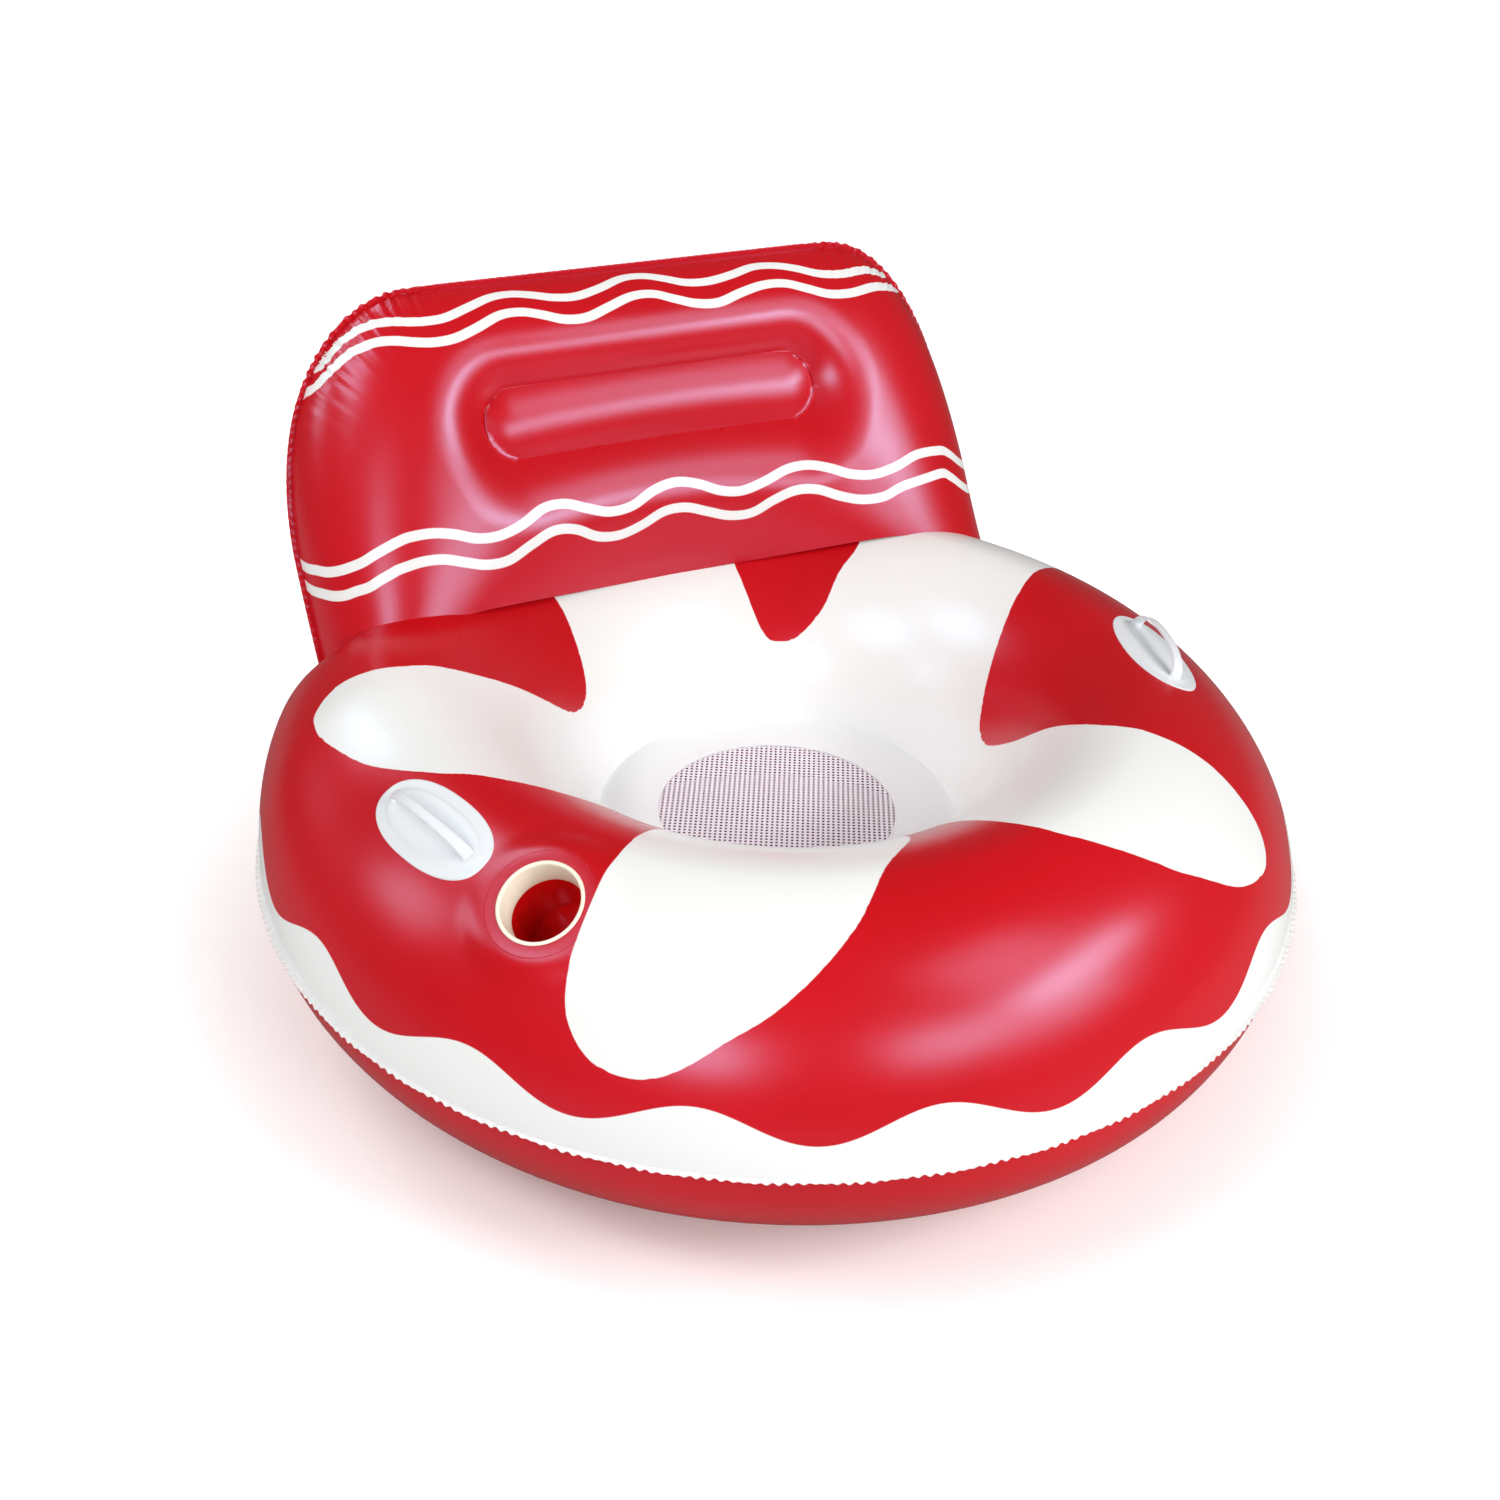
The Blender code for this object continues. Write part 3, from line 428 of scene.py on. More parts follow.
# %% Border of the swirl
SWIRL = (
    (-94.1, 0.3063), (-92, 0.262), (-90.5, 0.236), (-87.5, 0.226), (-84.5, 0.236), (-82.5, 0.262),
    (-80.2, 0.3202), (-76.6, 0.3701), (-72.2, 0.4064), (-67.5, 0.4423), (-64.1, 0.466), (-58, 0.4968),
    (-52.5, 0.509), (-48.4, 0.5081), (-45.5, 0.4904), (-43.8, 0.4497), (-43.3, 0.4125), (-43.2, 0.3772),
    (-41.7, 0.3291), (-37.2, 0.281), (-34.1, 0.247), (-26.2, 0.224), (-18.7, 0.2188), (-11.6, 0.2248),
    (-2, 0.2506), (7.8, 0.3073), (12.8, 0.3657), (15.7, 0.4355), (19, 0.47), (25, 0.50), (33, 0.505),
    (41, 0.49), (45, 0.45), (47, 0.40), (47.8, 0.3236), (50.3, 0.2853), (52.5, 0.2491), (58.2, 0.2265),
    (63.8, 0.2219), (68.3, 0.2256), (71.7, 0.2464), (75.2, 0.294), (77, 0.34), (77, 0.39), (78, 0.44),
    (82, 0.485), (90, 0.507), (98, 0.510), (107, 0.497), (114, 0.46), (118, 0.41), (119.5, 0.36),
    (120.3, 0.306), (124.9, 0.261), (132.3, 0.2289), (141.9, 0.2232), (149.3, 0.2394), (156, 0.2933),
    (159.1, 0.3495), (160.7, 0.3804), (161.3, 0.4143), (162.6, 0.4419), (165.4, 0.4582), (167.7, 0.4619),
    (171.9, 0.457), (179.4, 0.4338), (-172.4, 0.393), (-167.5, 0.3612), (-162.4, 0.3291), (-155, 0.285),
    (-150, 0.245), (-145, 0.226), (-141, 0.236), (-139.2, 0.27), (-138.9, 0.3308), (-138.7, 0.4029),
    (-138.5, 0.4508), (-137.9, 0.4869), (-136.4, 0.5065), (-133.4, 0.5194), (-129.1, 0.5218), (-125.3, 0.515),
    (-121.1, 0.4988), (-116.7, 0.4811), (-111.8, 0.4523), (-107, 0.4145), (-102, 0.3618),
)
ICING_REACH = 0.0475
ICING_WAVE = 0.0145
ICING_WAVES = 16
ICING_TURN = math.radians(101.25)


def smooth_line(points, closed, parts=10):
    """Catmull-Rom line through the points."""
    points = np.asarray(points, float)
    if closed:
        ends = np.concatenate((points[-1:], points, points[:2]))
    else:
        ends = np.concatenate((2 * points[:1] - points[1:2], points, 2 * points[-1:] - points[-2:-1]))
    share = (np.arange(parts) / parts)[:, None]
    line = []
    for a, b, c, d in zip(ends, ends[1:], ends[2:], ends[3:]):
        line.append(0.5 * (2 * b + (c - a) * share + (2 * a - 5 * b + 4 * c - d) * share**2
                           + (3 * b - a - 3 * c + d) * share**3))
    line = np.concatenate(line)
    return line if closed else np.concatenate((line, points[-1:]))


def signed_distance(points, line, closed, flat):
    """Distance from each point to a line, and above 0 on its left. Flat names the two axes of the print's plan."""
    tree = KDTree(len(line))
    for index, place in enumerate(line):
        tree.insert(place, index)
    tree.balance()
    index = np.array([tree.find(place)[1] for place in points])
    found = np.full(len(points), np.inf)
    for step in (-1, 0):
        first = index + step
        second = first + 1
        if closed:
            first, second = first % len(line), second % len(line)
        else:
            first = np.clip(first, 0, len(line) - 2)
            second = first + 1
        run = line[second] - line[first]
        length = np.maximum((run**2).sum(axis=1), 1e-18)
        share = np.clip(((points - line[first]) * run).sum(axis=1) / length, 0, 1)
        gap = points - line[first] - run * share[:, None]
        left = run[:, flat[0]] * gap[:, flat[1]] - run[:, flat[1]] * gap[:, flat[0]] > 0
        far = np.linalg.norm(gap, axis=1)
        found = np.where(far < np.abs(found), np.where(left, far, -far), found)
    return found


def store(piece, name, values):
    attribute = piece.data.attributes.new(name, "FLOAT", "POINT")
    attribute.data.foreach_set("value", np.asarray(values, float))
    print(piece.name, name, "from", round(float(np.min(values)), 4), "to", round(float(np.max(values)), 4))


# %% Print on the upper film
def crown_arc(points):
    """Length over the crown from the outer weld to each point."""
    radius = np.hypot(points[:, 0], points[:, 1])
    steps = section(2000, CROWN_RISE, CROWN_FULLNESS)
    lengths = np.concatenate(([0.0], np.cumsum(np.linalg.norm(np.diff(steps, axis=0), axis=1))))
    share = np.clip((radius - TUBE_MIDDLE) / TUBE_HALF, -1, 1)
    side = np.sign(share) * np.abs(share) ** (CROWN_FULLNESS / 2)
    up = np.clip((points[:, 2] - weld_height(radius)) / CROWN_RISE, 0, 1) ** (CROWN_FULLNESS / 2)
    return np.interp(np.arctan2(up, side), np.linspace(0, math.pi, len(lengths)), lengths)


turns = np.radians([bearing for bearing, _ in SWIRL])
radii = np.array([radius for _, radius in SWIRL])
swirl = smooth_line(np.stack((radii * np.cos(turns), radii * np.sin(turns)), axis=1), closed=True)
swirl_radius = np.hypot(swirl[:, 0], swirl[:, 1])
swirl = np.column_stack((swirl, crown_height(swirl_radius)))
places = corners(top_film)
edge = signed_distance(places, swirl, closed=True, flat=(0, 1))
arc = crown_arc(places)
turn = np.arctan2(places[:, 1], places[:, 0])
wave = ICING_WAVES * (turn + ICING_TURN)
slope = ICING_WAVE * ICING_WAVES * np.sin(wave) / np.hypot(places[:, 0], places[:, 1])
icing = (ICING_REACH + ICING_WAVE * np.cos(wave) - arc) / np.sqrt(1 + slope**2)
store(top_film, "print_edge", np.maximum(edge, icing))
store(top_film, "weld_distance", np.minimum(arc, arc.max() - arc))

# %% [markdown]
# Round the cup holder the film is held flat by the collar's lip, and further out it follows the tube again.
# The corners near the hole are moved along the collar's axis for that.

# %% Flat place round the cup holder
CUP_FLAT = 0.046
CUP_BLEND = 0.080


def flat_share(distance):
    share = np.clip((CUP_BLEND - distance) / (CUP_BLEND - CUP_FLAT), 0, 1)
    return share * share * (3 - 2 * share)


def in_frame(place, points):
    return (points - np.array(place.translation)) @ np.array(place.to_3x3())


def flatten_round_cup(points):
    local = in_frame(CUP_FRAME, points)
    distance = np.hypot(local[:, 0], local[:, 1])
    near = (distance < CUP_BLEND) & (np.abs(local[:, 2]) < 0.03)
    surface = in_frame(CUP_FRAME, on_crown(CUP_FRAME, local[near, 0], local[near, 1], 0.0))
    local[near, 2] -= surface[:, 2] * flat_share(distance[near])
    moved = points.copy()
    moved[near] = local_points(CUP_FRAME, local[near, 0], local[near, 1], local[near, 2])
    print("moved", int(near.sum()), "corners round the cup holder")
    return moved


# %% [markdown]
# A blown ring is never quite round. Seen from the front, its film stands out more at the left rear shoulder,
# beyond the end of the backrest, and under the front right. A swell is a smooth lift along the film's
# normal that ends before the welds, so that all that is welded to the film stays where it is.

# %% Swell of the films
LEFT_SWELL = (0.028, 155.0, 32.0, 2.0)
BELLY_SWELL = (0.009, -66.0, 36.0, 1.0)
HELD_PLACES = (((-0.411, 0.278), 0.012, 0.065), (tuple(LEFT_FRAME.translation[:2]), 0.078, 0.230),
               (tuple(CUP_FRAME.translation[:2]), 0.084, 0.150))


def swell(points, size, bearing, wide, behind, upwards):
    """Points moved out of the tube by a bump about a bearing, with none at the welds."""
    radius = np.hypot(points[:, 0], points[:, 1])
    turn = np.arctan2(points[:, 1], points[:, 0])
    off = (np.degrees(turn) - bearing + 180) % 360 - 180
    off *= np.where(off < 0, behind, 1.0)
    share = np.clip((radius - TUBE_MIDDLE) / TUBE_HALF, -1, 1)
    angle = np.arccos(share)
    rise = np.sin(np.clip(angle / (0.62 * math.pi), 0, 1) * math.pi) ** 2
    size = size * np.exp(-((off / wide) ** 2)) * rise
    for place, held, free in HELD_PLACES if upwards > 0 else ():
        gap = np.hypot(points[:, 0] - place[0], points[:, 1] - place[1])
        loose = np.clip((gap - held) / (free - held), 0, 1)
        size *= loose * loose * (3 - 2 * loose)
    out = size * np.maximum(share, 0)
    moved = points.copy()
    moved[:, 0] += out * np.cos(turn)
    moved[:, 1] += out * np.sin(turn)
    moved[:, 2] += upwards * size * np.sqrt(1 - share**2)
    return moved


place_corners(top_film, swell(flatten_round_cup(places), *LEFT_SWELL, 1))
smooth(top_film)
seat(top_film, "root", "printed_red_film", "ring_top_sheet")

# %% Lower film
REST_BAND_CUT = 0.0005
belly = section(BELLY_STEPS, -BELLY_DROP - REST_BAND_CUT, BELLY_FULLNESS)
belly[:, 1] = np.maximum(belly[:, 1] - FIT / 2, FILM)
bottom_film = rolled_ring("ring_bottom_film", wall_loop(belly, FILM), 400)
places = swell(corners(bottom_film), *BELLY_SWELL, -1)
places[:, 2] = np.maximum(places[:, 2], np.where(corners(bottom_film)[:, 2] < FILM / 2, 0.0, FILM))
place_corners(bottom_film, places)
smooth(bottom_film)
seat(bottom_film, "root", "red_film", "ring_bottom_sheet")

# %% [markdown]
# ## Outer weld
# Both films end in a narrow welded edge. The weld shrinks the film as it cools, so the edge is finely
# crinkled, with a new wave every 10 mm or so. It gets its own ring with six corners to each wave.

# %% Outer weld fin
FIN_STEPS = 2160
FIN_ROOT = RING_OUT - WELD_FIN - 0.0008
FIN_WAVES = ((352, 0.55, 0.4), (297, 0.35, 2.1), (41, 0.25, 1.0))
FIN_CRINKLE = 0.0017
FIN_SCALLOP = 0.0012


def crinkle(turn):
    return sum(share * np.sin(waves * turn + start) for waves, share, start in FIN_WAVES)


top = OUTER_WELD_HEIGHT + FILM
low = OUTER_WELD_HEIGHT - FILM
middle = OUTER_WELD_HEIGHT
outline = [(FIN_ROOT, top), (FIN_ROOT + 0.002, top), (FIN_ROOT + 0.0045, top), (RING_OUT - 0.0004, top - 0.0001),
           (RING_OUT, middle), (RING_OUT - 0.0004, low + 0.0001), (FIN_ROOT + 0.0045, low), (FIN_ROOT + 0.002, low),
           (FIN_ROOT, low)]
outer_weld = rolled_ring("ring_outer_weld", outline, FIN_STEPS)
points = corners(outer_weld)
radius = np.hypot(points[:, 0], points[:, 1])
turn = np.arctan2(points[:, 1], points[:, 0])
reach = np.clip((radius - FIN_ROOT) / (RING_OUT - FIN_ROOT), 0, 1)
points[:, 2] += FIN_CRINKLE * crinkle(turn) * reach**1.5
points[:, :2] *= (1 - FIN_SCALLOP * (0.5 + 0.5 * crinkle(turn + 0.3)) * reach**2 / radius)[:, None]
store(outer_weld, "print_edge", points[:, 2] - middle - FIN_CRINKLE * crinkle(turn) * reach**1.5)
place_corners(outer_weld, points)
smooth(outer_weld, 60)
seat(outer_weld, "root", "printed_red_film")

# %% [markdown]
# ## Backrest films
# Each face of the backrest is a grid laid on the cushion's formula. The rows and columns crowd towards the
# welds, where the film turns most sharply. Solidify then gives it the film's thickness.

# %% Backrest faces
BACK_COLUMNS = 230
BACK_ROWS = 120
EDGE_CROWDING = 1.7


def crowd(share):
    return 1 - (1 - share) ** EDGE_CROWDING


def weld_outline(steps):
    """Evenly spaced points along the backrest's weld, from the foot at -X over the top to the foot at +X."""
    up = crowd(np.linspace(0, 1, 300))
    left = back_face(np.full(300, -1.0), up, -1)
    top = back_face(np.linspace(-1, 1, 300), np.ones(300), -1)
    rough = np.concatenate((left, top[1:-1], left[::-1] * (-1, 1, 1)))
    length = np.concatenate(([0.0], np.cumsum(np.linalg.norm(np.diff(rough, axis=0), axis=1))))
    even = np.linspace(0, length[-1], steps)
    return np.stack([np.interp(even, length, rough[:, axis]) for axis in range(3)], axis=1), even


WELD_STEPS = 1500
weld_line, weld_run = weld_outline(WELD_STEPS)
weld_course = np.gradient(weld_line, axis=0)
weld_course /= np.linalg.norm(weld_course, axis=1, keepdims=True)
weld_out = np.stack((-weld_course[:, 2], np.zeros(WELD_STEPS), weld_course[:, 0]), axis=1)
weld_out /= np.linalg.norm(weld_out, axis=1, keepdims=True)
print("backrest's weld is", round(float(weld_run[-1]), 3), "m long")

# %% Puckers at the rounded corners
PUCKER_WIDE = 0.017
CORNER_LOW = 0.515
CORNER_FULL = 0.575
CORNER_END = 0.215
WANDER = 0.0022
PUCKER = 0.0011


def corner_share(points):
    """1 along the rounded corners of the weld, 0 along its straight sides and top."""
    low = np.clip((points[:, 2] - CORNER_LOW) / (CORNER_FULL - CORNER_LOW), 0, 1)
    return low * np.clip((np.abs(points[:, 0]) - CORNER_END) / 0.05, 0, 1)


def corner_wave(run):
    """Uneven waves, about 17 mm long, along the weld."""
    phase = 2 * math.pi * run / PUCKER_WIDE
    return 0.6 * np.sin(phase + 1.3 * np.sin(phase / 5.3)) + 0.4 * np.sin(phase * 1.71 + 0.7)


weld_shift = -WANDER * corner_share(weld_line) * (0.5 + 0.5 * corner_wave(weld_run))


def pucker(points, side):
    """Draws the film in where its weld is drawn in, and ripples it beside the weld."""
    tree = KDTree(WELD_STEPS)
    for index, place in enumerate(weld_line):
        tree.insert((place[0], 0.0, place[2]), index)
    tree.balance()
    found = [tree.find((place[0], 0.0, place[2])) for place in points]
    index = np.array([item[1] for item in found])
    gap = np.array([item[2] for item in found])
    moved = points + weld_out[index] * (weld_shift[index] * np.exp(-gap / 0.020))[:, None]
    ripple = corner_share(weld_line)[index] * np.exp(-gap / 0.010) * (1 - np.exp(-gap / 0.0012))
    ripple *= PUCKER * corner_wave(weld_run + 0.3 * PUCKER_WIDE)[index]
    moved += weld_out[index] * ripple[:, None]
    moved[:, 1] += side * ripple
    return moved


def on_face(x, z, side=-1):
    """Places on the front or rear face that are seen at (x, z) from the front."""
    across = np.clip(x / BACK_HALF_WIDTH, -1, 1)
    up = np.full(np.shape(x), 0.5)
    for _ in range(30):
        found = back_face(across, up, side)
        across = np.clip(across + 0.8 * (x - found[:, 0]) / BACK_HALF_WIDTH, -1, 1)
        up = np.clip(up + 0.8 * (z - found[:, 2]) / (BACK_TOP - 0.33), 0, 1)
    return found


def snap_to_recess(points, side, reach=0.0019):
    """Moves the corners nearest to the recess's outline onto it, so that the fold there is a clean line."""
    beyond = beyond_pill(points[:, 0], points[:, 2])
    near = np.abs(beyond) < reach
    straight = (RECESS_LENGTH - RECESS_WIDTH) / 2
    gap = points[near][:, (0, 2)] - (0.0, RECESS_HEIGHT)
    gap[:, 0] -= np.clip(gap[:, 0], -straight, straight)
    gap *= (beyond[near] / np.linalg.norm(gap, axis=1))[:, None]
    target = points[near][:, (0, 2)] - gap
    moved = points.copy()
    moved[near] = on_face(target[:, 0], target[:, 1], side)
    return moved


def back_film(name, side):
    piece, across, up = grid_piece(name, BACK_COLUMNS, BACK_ROWS)
    spread = 2 * across - 1
    spread = np.sign(spread) * crowd(np.abs(spread))
    points = snap_to_recess(back_face(spread, crowd(up), side), side)
    points[:, 1] += side * (FIT / 2 + FILM)
    place_corners(piece, pucker(points, side))
    if piece.data.polygons[len(piece.data.polygons) // 2].normal.y * side < 0:
        piece.data.flip_normals()
    add_and_apply(piece, "SOLIDIFY", thickness=FILM, offset=-1.0)
    return smooth(piece)


front_film = back_film("backrest_front_film", -1)
rear_film = back_film("backrest_rear_film", 1)
seat(front_film, "root", "printed_red_film", "backrest_front_sheet")
seat(rear_film, "root", "red_film", "backrest_rear_sheet")

# %% Backrest weld fin
BACK_FIN = (
    (-0.0012, 0.00050), (0.0010, 0.00055), (0.0028, 0.00055), (0.0045, 0.0005), (0.0057, 0.0004), (0.0060, 0.0),
    (0.0057, -0.0004), (0.0045, -0.0005), (0.0028, -0.00055), (0.0010, -0.00055), (-0.0012, -0.00050),
)


def ribbon(name, line, out, section_points, shift, crinkles):
    """A grid rolled round a flat section and led along a line."""
    count = len(section_points)
    piece, along, around = grid_piece(name, len(line) - 1, count)
    index = np.rint(along * (len(line) - 1)).astype(int)
    reach, level = np.array(section_points)[np.rint(around * count).astype(int) % count].T
    course = np.gradient(line, axis=0)
    course /= np.linalg.norm(course, axis=1, keepdims=True)
    across = np.cross(course, out)
    wave = crinkles[index] * np.clip(reach / WELD_FIN, 0, 1) ** 1.5
    points = line[index] + out[index] * (reach + shift[index])[:, None] + across[index] * (level + wave)[:, None]
    place_corners(piece, points)
    face_outwards(piece)
    return close_ends(piece)


fine = np.sin(2 * math.pi * weld_run / 0.0091) * 0.55 + np.sin(2 * math.pi * weld_run / 0.0117 + 1.0) * 0.35
back_weld = ribbon("backrest_weld", weld_line, weld_out, BACK_FIN, weld_shift,
                   fine * (0.0007 + 0.0013 * corner_share(weld_line)))
smooth(back_weld, 60)
seat(back_weld, "root", "red_film")

# %% [markdown]
# The long recess in the front is held by a weld along its outline. The weld is a thin bead that catches the
# light, so it gets its own piece: a thin round band that follows the film along the outline.

# %% Bead of the recess weld
BEAD = 0.0006


def recess_outline(steps):
    """Closed outline of the recess in (x, z), evenly spaced."""
    straight = (RECESS_LENGTH - RECESS_WIDTH) / 2
    turn = np.linspace(-math.pi / 2, math.pi / 2, 120)
    right_end = np.stack((straight + np.cos(turn) * RECESS_WIDTH / 2, np.sin(turn) * RECESS_WIDTH / 2), axis=1)
    rough = np.concatenate((right_end, -right_end, right_end[:1]))
    length = np.concatenate(([0.0], np.cumsum(np.linalg.norm(np.diff(rough, axis=0), axis=1))))
    even = np.linspace(0, length[-1], steps + 1)[:-1]
    return np.stack([np.interp(even, length, rough[:, axis]) for axis in (0, 1)], axis=1) + (0.0, RECESS_HEIGHT)


def bead(name, line, radius, sides=8):
    """A closed round band along a closed line."""
    steps = len(line)
    piece, along, around = grid_piece(name, steps, sides)
    index = np.rint(along * steps).astype(int) % steps
    turn = 2 * math.pi * (np.rint(around * sides).astype(int) % sides) / sides
    course = np.roll(line, -1, axis=0) - np.roll(line, 1, axis=0)
    course /= np.linalg.norm(course, axis=1, keepdims=True)
    first = np.cross(course, (0.0, 1.0, 0.0))
    first /= np.linalg.norm(first, axis=1, keepdims=True)
    second = np.cross(course, first)
    points = line[index] + radius * (first[index] * np.cos(turn)[:, None] + second[index] * np.sin(turn)[:, None])
    place_corners(piece, points)
    return smooth(face_outwards(piece), 80)


# %% [markdown]
# ## Wavy stripes
# Two pairs of white stripes cross the front of the backrest, one pair above the recess and one below it.
# Each stripe is drawn as a line of points, a few to each wave, and each corner of the film stores on which
# side of the line it lies and how far off. The stripe is where that number is small.

# %% Stripes on the backrest
STRIPES = (
    (
        (-0.4120, 0.3745), (-0.4033, 0.3813), (-0.3944, 0.3846), (-0.3838, 0.3895), (-0.3728, 0.3951),
        (-0.3605, 0.4013), (-0.3480, 0.4089), (-0.3347, 0.4156), (-0.3219, 0.4211), (-0.3090, 0.4247),
        (-0.2858, 0.4261), (-0.2628, 0.4221), (-0.2396, 0.4144), (-0.2145, 0.4122), (-0.1859, 0.4172),
        (-0.1559, 0.4272), (-0.1291, 0.4268), (-0.1049, 0.4182), (-0.0796, 0.4106), (-0.0519, 0.4120),
        (-0.0228, 0.4237), (0.0050, 0.4282), (0.0313, 0.4231), (0.0566, 0.4131), (0.0829, 0.4097),
        (0.1110, 0.4162), (0.1409, 0.4259), (0.1680, 0.4278), (0.1931, 0.4232), (0.2164, 0.4154),
        (0.2436, 0.4123), (0.2735, 0.4166), (0.3073, 0.4240), (0.3440, 0.4195), (0.3610, 0.4110),
        (0.3780, 0.3970), (0.3950, 0.3840), (0.4130, 0.3740),
    ),
    (
        (-0.4120, 0.3550), (-0.4028, 0.3605), (-0.3939, 0.3633), (-0.3834, 0.3675), (-0.3722, 0.3736),
        (-0.3600, 0.3787), (-0.3475, 0.3862), (-0.3341, 0.3927), (-0.3266, 0.3959), (-0.3031, 0.4011),
        (-0.2797, 0.4008), (-0.2566, 0.3941), (-0.2325, 0.3869), (-0.2061, 0.3860), (-0.1776, 0.3956),
        (-0.1494, 0.4038), (-0.1229, 0.4000), (-0.0967, 0.3863), (-0.0694, 0.3824), (-0.0416, 0.3887),
        (-0.0134, 0.3998), (0.0139, 0.4001), (0.0401, 0.3914), (0.0668, 0.3830), (0.0938, 0.3832),
        (0.1207, 0.3953), (0.1479, 0.4035), (0.1744, 0.4022), (0.1999, 0.3930), (0.2260, 0.3870),
        (0.2534, 0.3878), (0.2839, 0.3964), (0.3362, 0.3978), (0.3544, 0.3896), (0.3731, 0.3745),
        (0.3900, 0.3620), (0.4130, 0.3500),
    ),
    (
        (-0.3586, 0.5642), (-0.3390, 0.5860), (-0.3259, 0.5971), (-0.3131, 0.6047), (-0.3006, 0.6097),
        (-0.2884, 0.6123), (-0.2765, 0.6133), (-0.2696, 0.6132), (-0.2475, 0.6128), (-0.2237, 0.6144),
        (-0.1972, 0.6201), (-0.1689, 0.6255), (-0.1433, 0.6265), (-0.1198, 0.6243), (-0.0969, 0.6210),
        (-0.0720, 0.6200), (-0.0431, 0.6235), (-0.0129, 0.6281), (0.0141, 0.6283), (0.0378, 0.6251),
        (0.0609, 0.6207), (0.0872, 0.6197), (0.1173, 0.6223), (0.1487, 0.6260), (0.1764, 0.6251),
        (0.2016, 0.6210), (0.2271, 0.6145), (0.2565, 0.6106), (0.2918, 0.6086), (0.3120, 0.6030),
        (0.3330, 0.5930),
    ),
    (
        (-0.3756, 0.5375), (-0.3638, 0.5513), (-0.3515, 0.5647), (-0.3382, 0.5767), (-0.3251, 0.5864),
        (-0.3126, 0.5920), (-0.3001, 0.5963), (-0.2882, 0.5979), (-0.2765, 0.5980), (-0.2649, 0.5970),
        (-0.2428, 0.5958), (-0.2188, 0.5978), (-0.1924, 0.6045), (-0.1645, 0.6124), (-0.1393, 0.6132),
        (-0.1163, 0.6090), (-0.0933, 0.6033), (-0.0679, 0.6027), (-0.0392, 0.6091), (-0.0096, 0.6152),
        (0.0168, 0.6151), (0.0402, 0.6092), (0.0645, 0.6032), (0.0912, 0.6017), (0.1212, 0.6076),
        (0.1518, 0.6117), (0.1797, 0.6106), (0.2053, 0.6038), (0.2318, 0.5960), (0.2625, 0.5928),
        (0.2992, 0.5920), (0.3280, 0.5850), (0.3520, 0.5740),
    ),
)
STRIPE_WIDTH = 0.0110


outline = recess_outline(500)
recess_weld = bead("backrest_recess_weld", on_face(outline[:, 0], outline[:, 1]) - (0.0, FIT / 2 + FILM, 0.0), BEAD)
seat(recess_weld, "root", "red_film")
places = corners(front_film)
for number, stripe in enumerate(STRIPES):
    plan = smooth_line(stripe, closed=False, parts=6)
    line = on_face(plan[:, 0], plan[:, 1])
    store(front_film, f"stripe_{number + 1}", signed_distance(places, line, closed=False, flat=(0, 2)))

# %% [markdown]
# ## Seat border and net
# A white film ring is welded into the inner seam, and it carries the net. Its inner edge has a double weld
# line that holds the net. The net is woven of thick threads, so it starts as a grid whose holes are taken
# out, gets its thickness, and is rounded by one subdivision.

# %% Seat border
NET_OPENING = 0.1285
SHEET = 0.0006
BORDER_LINES = ((0.1372, 0.0011), (0.1322, 0.0011), (0.1880, 0.0016))
LINE_DEPTH = 0.00022
radii = np.linspace(RING_IN, NET_OPENING + 0.0004, 90)
pressed = sum(LINE_DEPTH * np.exp(-((radii - at) / wide) ** 2) for at, wide in BORDER_LINES)
upper = np.stack((radii, INNER_WELD_HEIGHT + SHEET / 2 - pressed), axis=1)
lower = np.stack((radii[::-9], np.full(len(radii[::-9]), INNER_WELD_HEIGHT - SHEET / 2)), axis=1)
lip = [(NET_OPENING, INNER_WELD_HEIGHT)]
border = rolled_ring("seat_border_film", np.concatenate((upper, lip, lower)), 256)
smooth(border)
seat(border, "root", "white_moulding", "seat_border")

# %% Net
NET_PITCH = 0.00546
THREAD = 0.0024
NET_GAUGE = 0.0005
NET_CELLS = 51
NET_TRIM = 0.1368
NET_TURN = CAMERA_AZIMUTH
NET_LEVEL = INNER_WELD_HEIGHT - SHEET / 2 - FIT - NET_GAUGE / 2
net, column, row = grid_piece("seat_net_weave", 2 * NET_CELLS, 2 * NET_CELLS)


def thread_lines(share):
    """Grid lines at the edges of the threads, two for each hole."""
    step = np.rint(share * 2 * NET_CELLS)
    return (step // 2 - NET_CELLS / 2) * NET_PITCH + np.where(step % 2 == 1, THREAD, 0.0)


x = thread_lines(column)
y = thread_lines(row)
place_corners(net, np.stack((x, y, np.full(len(x), NET_LEVEL)), axis=1))
centres = np.array([face.center[:2] for face in net.data.polygons])
cells = np.rint(2 * (centres - THREAD / 2) / NET_PITCH + NET_CELLS).astype(int) % 2
taken_out = cells.all(axis=1) | (np.hypot(centres[:, 0], centres[:, 1]) > NET_TRIM)
select_nothing()
bpy.context.view_layer.objects.active = net
bpy.ops.object.mode_set(mode="EDIT")
bpy.ops.mesh.select_mode(type="FACE")
bpy.ops.mesh.select_all(action="DESELECT")
bpy.ops.object.mode_set(mode="OBJECT")
net.data.polygons.foreach_set("select", taken_out)
bpy.ops.object.mode_set(mode="EDIT")
bpy.ops.mesh.delete(type="FACE")
bpy.ops.mesh.select_mode(type="VERT")
bpy.ops.object.mode_set(mode="OBJECT")
turned = corners(net) @ np.array(Matrix.Rotation(NET_TURN, 3, "Z")).T
place_corners(net, turned)
